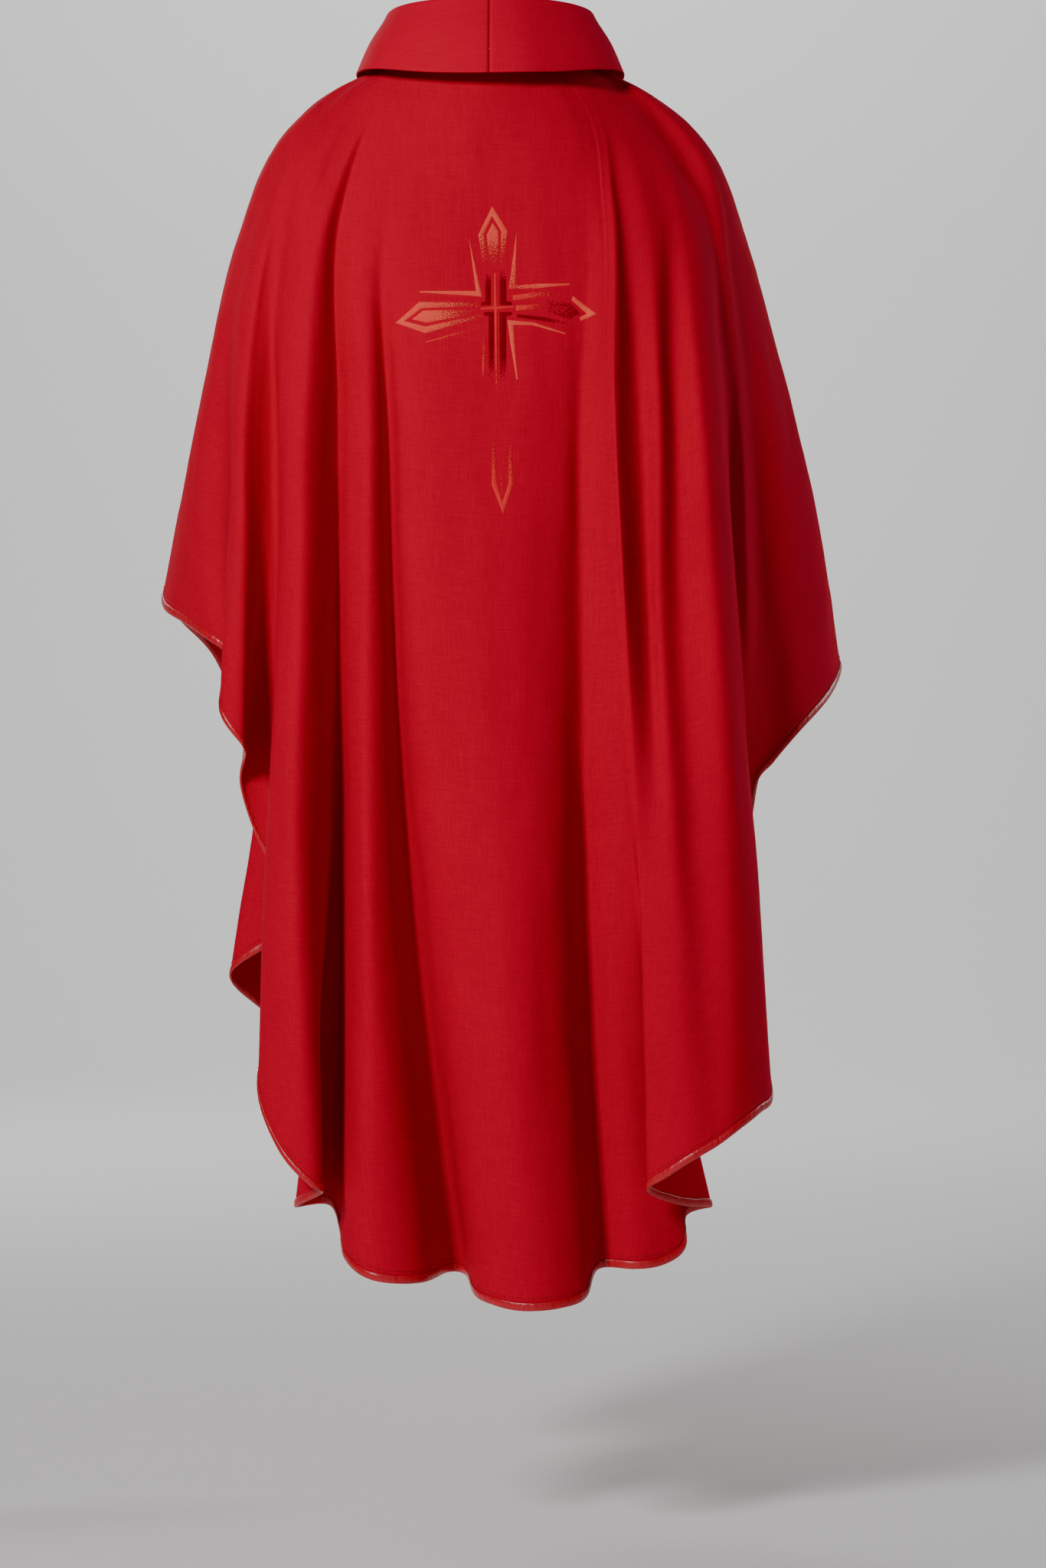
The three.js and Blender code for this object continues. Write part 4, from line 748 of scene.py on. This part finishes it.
def collar_grid(levels, keep=slice(None), drop=0.0, gap=COLLAR_GROOVE):
    """Points of the collar at a distance from its middle surface, as space points."""
    degrees, lines, normal, tangent, direction = COLLAR
    flat = lines[:, keep] + normal[:, keep] * np.asarray(levels)[..., None] + tangent[:, keep] * drop
    points = np.empty((*flat.shape[:2], 3))
    points[..., :2] = direction[:, None, :2] * flat[..., :1]
    points[..., 2] = flat[..., 1]
    for end in (0, -1):
        points[end, :, 0] = math.copysign(gap, math.sin(math.radians(degrees[end])))
    return points * MM


def upper_collar():
    """The face cloth, folded up inside along its lower edge."""
    outside, inside = collar_grid(1.1), collar_grid(0.55)
    under = slice(-5, None)
    turned = [collar_grid(0.9, slice(-1, None), 0.9), collar_grid(0.0, slice(-1, None), 1.35),
              collar_grid(-0.9, slice(-1, None), 0.9), collar_grid(-1.1, under)[:, ::-1]]
    lined = [collar_grid(0.45, slice(-1, None), 0.35), collar_grid(0.0, slice(-1, None), 0.7),
             collar_grid(-0.45, slice(-1, None), 0.35), collar_grid(-0.6, under)[:, ::-1]]
    outer = np.concatenate([outside, *turned], axis=1)
    inner = np.concatenate([inside, *lined], axis=1)
    groove = outer.copy()
    for end, step in ((0, 1), (-1, -1)):
        groove[end] = outer[end] * 0.5 + inner[end] * 0.5
        groove[end + step] = outer[end] * 0.2 + outer[end + step] * 0.8
        inner[end + step] = inner[end] * 0.2 + inner[end + step] * 0.8
    piece = shell("upper_collar_cloth", groove, inner, lengths_along(outer, 0), lengths_along(outer, 1))
    return finished(piece, COLLAR_CLOTH, "collar_cloth", "upper_collar")


def collar_layer(name, near, far, keep, material, slot, node):
    outer, inner = collar_grid(near, keep, gap=1.5), collar_grid(far, keep, gap=1.5)
    piece = shell(name, outer, inner, lengths_along(outer, 0), lengths_along(outer, 1))
    return finished(piece, material, slot, node)


upper_collar_piece = upper_collar()
interlining = collar_layer("collar_interlining_cloth", 0.3, -0.3, slice(0, -1), STIFFENER, "interlining",
                           "collar_interlining")
LAPPED = np.arange(sum(COLLAR_ROWS) + 1)[:-3] > sum(COLLAR_ROWS) - 6     # where it laps over the turned edge
under_collar = collar_layer("under_collar_cloth", np.where(LAPPED, -1.2, -0.55), np.where(LAPPED, -1.65, -1.0),
                            slice(0, -3), COLLAR_CLOTH, "collar_cloth", "under_collar")


def collar_seam():
    """Small stitches that draw the two ends of the collar together at the centre back."""
    line = collar_grid(0.75)[0]
    line[:, 0] = 0
    run = lengths_along(line, 0)
    marks = np.arange(1.5 * MM, run[-1] - 1 * MM, 2.6 * MM)
    places = np.stack([np.interp(marks, run, line[:, i]) for i in range(3)], -1)
    along = unit(np.gradient(places, axis=0))
    out = unit(np.cross(np.array([[1.0, 0, 0]]), along))
    out = out * np.sign(np.sum(out * np.array([[0, -1.0, 0.4]]), axis=1, keepdims=True))
    return stitch_row("collar_seam_stitches", places - out * 0.35 * MM, along, out, 2.3 * MM, 0.6 * MM,
                      RED_THREAD, "red_thread", "collar_back_seam")


collar_seam_piece = collar_seam()


# ---- hanger loop and label, inside the back neck -------------------------------------------------
def hanger_loop():
    low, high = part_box("hanger_loop")
    y = (low.y + high.y) / 2
    half = (high.x - low.x) / 2 - 2.5 * MM
    t = np.linspace(-1, 1, 49)
    centre = np.stack([half * np.sign(t) * np.abs(t) ** 0.8, np.full(49, y),
                       high.z - 1 * MM - (high.z - low.z - 5 * MM) * (1 - t ** 2) ** 0.7], -1)
    along = unit(np.gradient(centre, axis=0))
    side = unit(np.cross(along, np.array([[0, 1.0, 0]])))
    width = np.linspace(-3, 3, 7) * MM
    grid = centre[:, None] + side[:, None] * width[None, :, None]
    lift = np.array([0, 0.4 * MM, 0])
    piece = shell("hanger_loop_tape", grid - lift, grid + lift, lengths_along(grid, 0), lengths_along(grid, 1))
    return finished(piece, RED_TAPE, "red_tape", "hanger_loop")


def care_label():
    low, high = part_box("care_label")
    x, z = np.meshgrid(np.linspace(low.x, high.x, 25), np.linspace(high.z, low.z, 19), indexing="ij")
    curl = 1.6 * MM * ((high.z - z) / (high.z - low.z)) ** 2
    y = np.full_like(x, (low.y + high.y) / 2) + curl
    grid = np.stack([x, y, z], -1)
    lift = np.array([0, 0.15 * MM, 0])
    piece = shell("care_label_cloth", grid - lift, grid + lift, lengths_along(grid, 0), lengths_along(grid, 1))
    return finished(piece, LABEL, "label_white", "care_label")


loop_piece = hanger_loop()
label_piece = care_label()


# ---- the embroidered cross -----------------------------------------------------------------------
BACK_TREE = BVHTree.FromObject(back_panel, bpy.context.evaluated_depsgraph_get())
STITCH_PILE = 0.75 * MM           # how thick the stitches lie on the cloth
# How fully each outline is covered with thread: at its tip, and at its end by the crossing.
COVER = {
    "top_arm_outline": (1.0, 0.25), "top_arm_kite": (0.95, 0.2), "left_arm_outline": (1.0, 0.35),
    "left_arm_kite": (1.0, 0.25), "right_arm_tip": (1.0, 0.8), "right_arm_upper_band": (0.15, 0.75),
    "right_arm_middle_band": (0.3, 0.8), "right_arm_kite": (0.50, 0.36), "right_arm_lower_band": (0.3, 0.7),
    "upper_left_ray": (1.0, 0.85), "upper_right_ray": (1.0, 0.5), "lower_left_ray": (0.9, 0.2),
    "lower_right_ray": (0.95, 0.9), "centre_lines": (0.4, 0.9), "bottom_arm_outline": (1.0, 0.35),
    "bottom_arm_kite": (0.5, 0.1), "lower_left_bar": (0.15, 0.9), "lower_right_bar": (0.15, 0.9),
    "upper_left_bar": (0.3, 0.9), "upper_right_bar": (0.3, 0.9),
}


def distance_to_outline(points, outline):
    best = np.full(len(points), 1e9)
    for start, end in zip(outline, np.roll(outline, -1, 0)):
        step = end - start
        share = np.clip((points - start) @ step / (step @ step), 0, 1)
        best = np.minimum(best, np.linalg.norm(points - start - share[:, None] * step, axis=1))
    return best


def fine_triangles(outline, longest):
    """An outline filled with triangles, each halved across its longest side until no side is too long."""
    points = [tuple(point) for point in outline]
    waiting = list(tessellate_polygon([[Vector((x, z, 0)) for x, z in outline]]))
    middles, faces = {}, []

    def middle(i, j):
        key = (min(i, j), max(i, j))
        if key not in middles:
            middles[key] = len(points)
            points.append(tuple((a + b) / 2 for a, b in zip(points[i], points[j])))
        return middles[key]

    while waiting:
        a, b, c = waiting.pop()
        sides = sorted((math.dist(points[i], points[j]), (i, j, k))
                       for i, j, k in ((a, b, c), (b, c, a), (c, a, b)))
        length, (start, end, far) = sides[-1]
        if length > longest:
            half = middle(start, end)
            waiting += [(start, half, far), (half, end, far)]
        else:
            faces.append((a, b, c))
    for i, (a, b, c) in enumerate(faces):
        (ax, ay), (bx, by), (cx, cy) = points[a], points[b], points[c]
        if (bx - ax) * (cy - ay) - (cx - ax) * (by - ay) < 0:
            faces[i] = (a, c, b)
    return np.array(points), faces


def embroidered(name, slot, outline):
    """One filled outline: a thin pad of stitches that follows the folds of the back panel."""
    outline = np.array(outline, float)
    flat, faces = fine_triangles(outline, 2.4)
    rim = distance_to_outline(flat, outline)
    reach = np.linalg.norm(flat, axis=1)
    nearness = 1 - (reach - reach.min()) / max(np.ptp(reach), 1e-6)
    tip, root = COVER[name]
    cover = tip + (root - tip) * nearness ** 0.8
    points = []
    for (x, z), edge in zip(flat, rim):
        at = Vector(((CROSS_CENTRE[0] + x) * MM, -1.0, (CROSS_CENTRE[1] + z) * MM))
        hit, _, _, _ = BACK_TREE.ray_cast(at, Vector((0, 1, 0)))
        pile = (0.15 + 0.85 * min(1.0, edge / 0.9)) * STITCH_PILE
        points.append(hit - Vector((0, pile, 0)))
    tilt = math.atan2(*(outline[np.argmax(np.linalg.norm(outline, axis=1))][::-1]))
    turn = np.array([[math.cos(tilt), math.sin(tilt)], [-math.sin(tilt), math.cos(tilt)]])
    places = (flat @ turn.T)[:, ::-1] * MM
    piece = mesh_piece("stitched_" + name, points, faces, places)
    piece.data.attributes.new("cover", "FLOAT", "POINT").data.foreach_set("value", cover.astype(np.float32))
    return finished(piece, THREADS[slot], slot, "cross_" + name)


EMBROIDERY = [embroidered(name, slot, outline) for name, slot, outline in CROSS]


# ---- light, ground and camera --------------------------------------------------------------------
FLOOR_HEIGHT = -1.52
FLOOR_HALF = 12.0
SWEEP_START = 6.0                 # where the floor starts to curve up behind the garment
SWEEP_RADIUS = 2.5
WALL = SWEEP_START + SWEEP_RADIUS
WALL_TOP = 7.0
CAMERA_PLACE = (0.034, -4.2, -0.751)
CAMERA_LENS = 92.3


def studio():
    ground = Paint("pale_ground", Roughness=0.9)
    ground.color((0.80, 0.79, 0.78, 1))
    sweep_height = FLOOR_HEIGHT + SWEEP_RADIUS
    profile = [(-FLOOR_HALF, FLOOR_HEIGHT), (SWEEP_START, FLOOR_HEIGHT)]
    profile += [(SWEEP_START + SWEEP_RADIUS * math.sin(a), sweep_height - SWEEP_RADIUS * math.cos(a))
                for a in np.linspace(0.1, math.pi / 2, 14)]
    profile += [(WALL, WALL_TOP)]
    points = [(x, y, z) for y, z in profile for x in (-FLOOR_HALF, FLOOR_HALF)]
    faces = [(2 * i, 2 * i + 1, 2 * i + 3, 2 * i + 2) for i in range(len(profile) - 1)]
    floor = mesh_piece("studio_floor", points, faces)
    floor.data.materials.append(ground.material)

    world = bpy.data.worlds.new("studio_world")
    bpy.context.scene.world = world
    world.use_nodes = True
    world.node_tree.nodes["Background"].inputs["Color"].default_value = (0.9, 0.92, 1.0, 1)
    world.node_tree.nodes["Background"].inputs["Strength"].default_value = 0.03

    def softbox(name, place, target, size, power, color=(1, 1, 1)):
        light = bpy.data.lights.new(name, "AREA")
        light.shape = "RECTANGLE"
        light.size, light.size_y = size
        light.energy = power
        light.color = color
        lamp = bpy.data.objects.new(name, light)
        lamp.location = place
        lamp.rotation_euler = (Vector(target) - Vector(place)).to_track_quat("-Z", "Y").to_euler()
        bpy.context.scene.collection.objects.link(lamp)

    softbox("key", (-1.9, -3.1, 1.15), (0, 0, -0.6), (0.6, 1.0), 128)
    softbox("fill", (1.2, -4.2, 0.2), (0, 0, -0.8), (1.2, 1.8), 5)
    softbox("rim", (2.6, 1.2, 0.4), (0.1, 0, -0.6), (0.5, 1.6), 34)
    softbox("front", (-2.2, 4.2, 1.6), (0, 0, -0.6), (1.2, 1.2), 70)
    softbox("backdrop", (0, 4.6, 3.4), (0, WALL, -0.4), (5.0, 1.0), 260)


def camera():
    lens = bpy.data.cameras.new("camera")
    lens.lens = CAMERA_LENS
    eye = bpy.data.objects.new("camera", lens)
    eye.location = CAMERA_PLACE
    eye.rotation_euler = (math.pi / 2, 0, 0)
    bpy.context.scene.collection.objects.link(eye)
    bpy.context.scene.camera = eye


studio()
camera()
